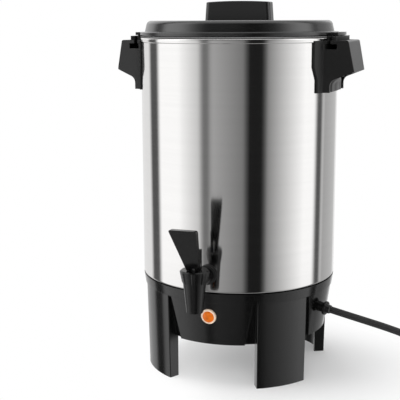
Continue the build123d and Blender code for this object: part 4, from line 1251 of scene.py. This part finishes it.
def makeFloor(plan):
    bm = bmesh.new()
    bmesh.ops.create_circle(bm, cap_ends=True, radius=plan["reach"], segments=plan["segments"])
    mesh = meshFrom("paleFloor", bm)
    material, tree = newSurface("paleFloor")
    shader = tree.nodes["Principled BSDF"]
    shader.inputs["Base Color"].default_value = grey(plan["level"])
    shader.inputs["Roughness"].default_value = plan["rough"]
    shader.inputs["Specular IOR Level"].default_value = 0.0
    place = addNode(tree, "ShaderNodeTexCoord").outputs["Object"]
    away = vectorNode(tree, "DISTANCE", place, plan["centre"], "Value")
    fade = rangeNode(tree, away, (plan["near"], plan["far"]), (plan["lift"], 1.0), "SMOOTHSTEP")
    seen = seenRays(tree, addNode(tree, "ShaderNodeLightPath").outputs)
    glow = addNode(tree, "ShaderNodeEmission", {"Color": white, "Strength": 1.0})
    blend = addNode(tree, "ShaderNodeMixShader", {"Fac": mathNode(tree, "MULTIPLY", fade, seen)})
    tree.links.new(shader.outputs["BSDF"], blend.inputs[1])
    tree.links.new(glow.outputs["Emission"], blend.inputs[2])
    tree.links.new(blend.outputs["Shader"], tree.nodes["Material Output"].inputs["Surface"])
    floor = addPiece("paleFloor", mesh, material)
    floor.visible_glossy = False


makeFloor(floorPlan)

# Cards: first and last azimuth in degrees, level at each of them; the ring's open level shows between
cardRing = {
    "radius": 2.0,
    "low": -3.0,
    "high": 3.0,
    "open": 1.2,
    "segments": 96,
    "soft": 4.5,
    "dimFrom": -0.5,
    "dimTo": -1.6,
    "dim": 0.5,
    "crownFrom": 0.35,
    "crownTo": 0.9,
    "crownFront": 0.3,
    "crownSides": 1.5,
    "front": (-45, 75),
    "frontSoft": 18.0,
}
cards = {
    "sideFill": (-190, -106, 0.8, 0.9),
    "leftFade": (-54, -14, 1.15, 0.42),
    "frontGrey": (-17, 30, 0.46, 0.17),
    "rightFade": (42, 98, 0.13, 1.2),
    "backGrey": (130, 172, 0.42, 0.6),
    "edgeFlag": (-107, -88, 0.1, 0.1),
    "slimFlag": (-26, -15, 0.19, 0.19),
    "blackFlag": (25, 47, 0.013, 0.013),
    "rightFlag": (116, 129, 0.1, 0.1),
}


def cardMask(tree, turn, first, last, soft):
    # 1 between the two azimuths and 0 away from them
    off = mathNode(tree, "SUBTRACT", turn, (first + last) / 2)
    off = mathNode(tree, "ABSOLUTE", mathNode(tree, "WRAP", off, 180.0, -180.0))
    half = (last - first) / 2
    return rangeNode(tree, off, (half - soft, half + soft), (1.0, 0.0), "SMOOTHSTEP")


def makeCardRing(plan):
    bm = bmesh.new()
    middle = Matrix.Translation((0, 0, (plan["high"] + plan["low"]) / 2))
    bmesh.ops.create_cone(
        bm,
        cap_ends=False,
        segments=plan["segments"],
        radius1=plan["radius"],
        radius2=plan["radius"],
        depth=plan["high"] - plan["low"],
        matrix=middle,
    )
    mesh = meshFrom("cardRing", bm)
    material, tree = newSurface("cardRing")
    place = addNode(tree, "ShaderNodeTexCoord").outputs["Object"]
    parts = addNode(tree, "ShaderNodeSeparateXYZ", {0: place}).outputs
    front = mathNode(tree, "MULTIPLY", parts["Y"], -1.0)
    turn = mathNode(tree, "DEGREES", mathNode(tree, "ARCTAN2", parts["X"], front))
    level = plan["open"]
    for first, last, firstLevel, lastLevel in cards.values():
        mask = cardMask(tree, turn, first, last, plan["soft"])
        across = rangeNode(tree, turn, (first, last), (firstLevel, lastLevel))
        level = mixNode(tree, mask, level, across)
    dimmed = rangeNode(tree, parts["Z"], (plan["dimTo"], plan["dimFrom"]), (plan["dim"], 1.0))
    level = mathNode(tree, "MULTIPLY", level, dimmed)
    ahead = cardMask(tree, turn, *plan["front"], plan["frontSoft"])
    crown = mixNode(tree, ahead, plan["crownSides"], plan["crownFront"])
    raised = rangeNode(tree, parts["Z"], (plan["crownFrom"], plan["crownTo"]), (1.0, crown))
    level = mathNode(tree, "MULTIPLY", level, raised)
    glow = addNode(tree, "ShaderNodeEmission", {"Color": white, "Strength": level})
    tree.links.new(glow.outputs["Emission"], tree.nodes["Material Output"].inputs["Surface"])
    ring = addPiece("cardRing", mesh, material)
    ring.visible_camera = False
    ring.visible_diffuse = False
    ring.visible_transmission = False
    ring.visible_shadow = False


makeCardRing(cardRing)

# Lamps: azimuth and elevation in degrees, distance and size in metres, power in watts
lamps = {
    "keyLamp": {"azimuth": -80, "elevation": 72, "distance": 1.5, "size": 1.0, "power": 14.0},
    "fillLamp": {"azimuth": 15, "elevation": 24, "distance": 1.6, "size": 1.2, "power": 10.0},
    "topLamp": {"azimuth": -120, "elevation": 78, "distance": 1.5, "size": 0.8, "power": 9.0},
}
lampAim = Vector((0, 0, 0.15))


def addLamp(name, plan):
    data = bpy.data.lights.new(name, "AREA")
    data.shape = "SQUARE"
    data.size = plan["size"]
    data.energy = plan["power"]
    lamp = bpy.data.objects.new(name, data)
    scene.collection.objects.link(lamp)
    azimuth = math.radians(plan["azimuth"])
    elevation = math.radians(plan["elevation"])
    level = math.cos(elevation)
    way = Vector((math.sin(azimuth) * level, -math.cos(azimuth) * level, math.sin(elevation)))
    lamp.location = way * plan["distance"] + lampAim
    lamp.rotation_euler = way.to_track_quat("Z", "Y").to_euler()
    lamp.visible_glossy = False


for name, plan in lamps.items():
    addLamp(name, plan)

# Sky: white to the camera, softer as a light, and darker below the horizon in mirrors
skyLevel = {"seen": 1.0, "soft": 0.5, "below": 0.4, "belowSpan": (-0.7, -0.2)}


def makeSky(plan):
    world = bpy.data.worlds.new("studioSky")
    scene.world = world
    world.use_nodes = True
    tree = world.node_tree
    rays = addNode(tree, "ShaderNodeLightPath").outputs
    soft = addNode(tree, "ShaderNodeBackground", {"Color": white, "Strength": plan["soft"]})
    way = addNode(tree, "ShaderNodeTexCoord").outputs["Generated"]
    height = addNode(tree, "ShaderNodeSeparateXYZ", {0: way}).outputs["Z"]
    mirrored = rangeNode(tree, height, plan["belowSpan"], (plan["below"], plan["seen"]))
    level = mixNode(tree, rays["Is Camera Ray"], mirrored, plan["seen"])
    bright = addNode(tree, "ShaderNodeBackground", {"Color": white, "Strength": level})
    blend = addNode(tree, "ShaderNodeMixShader", {"Fac": seenRays(tree, rays)})
    tree.links.new(soft.outputs[0], blend.inputs[1])
    tree.links.new(bright.outputs[0], blend.inputs[2])
    tree.links.new(blend.outputs[0], tree.nodes["World Output"].inputs["Surface"])


makeSky(skyLevel)
print("stage and lamps set")
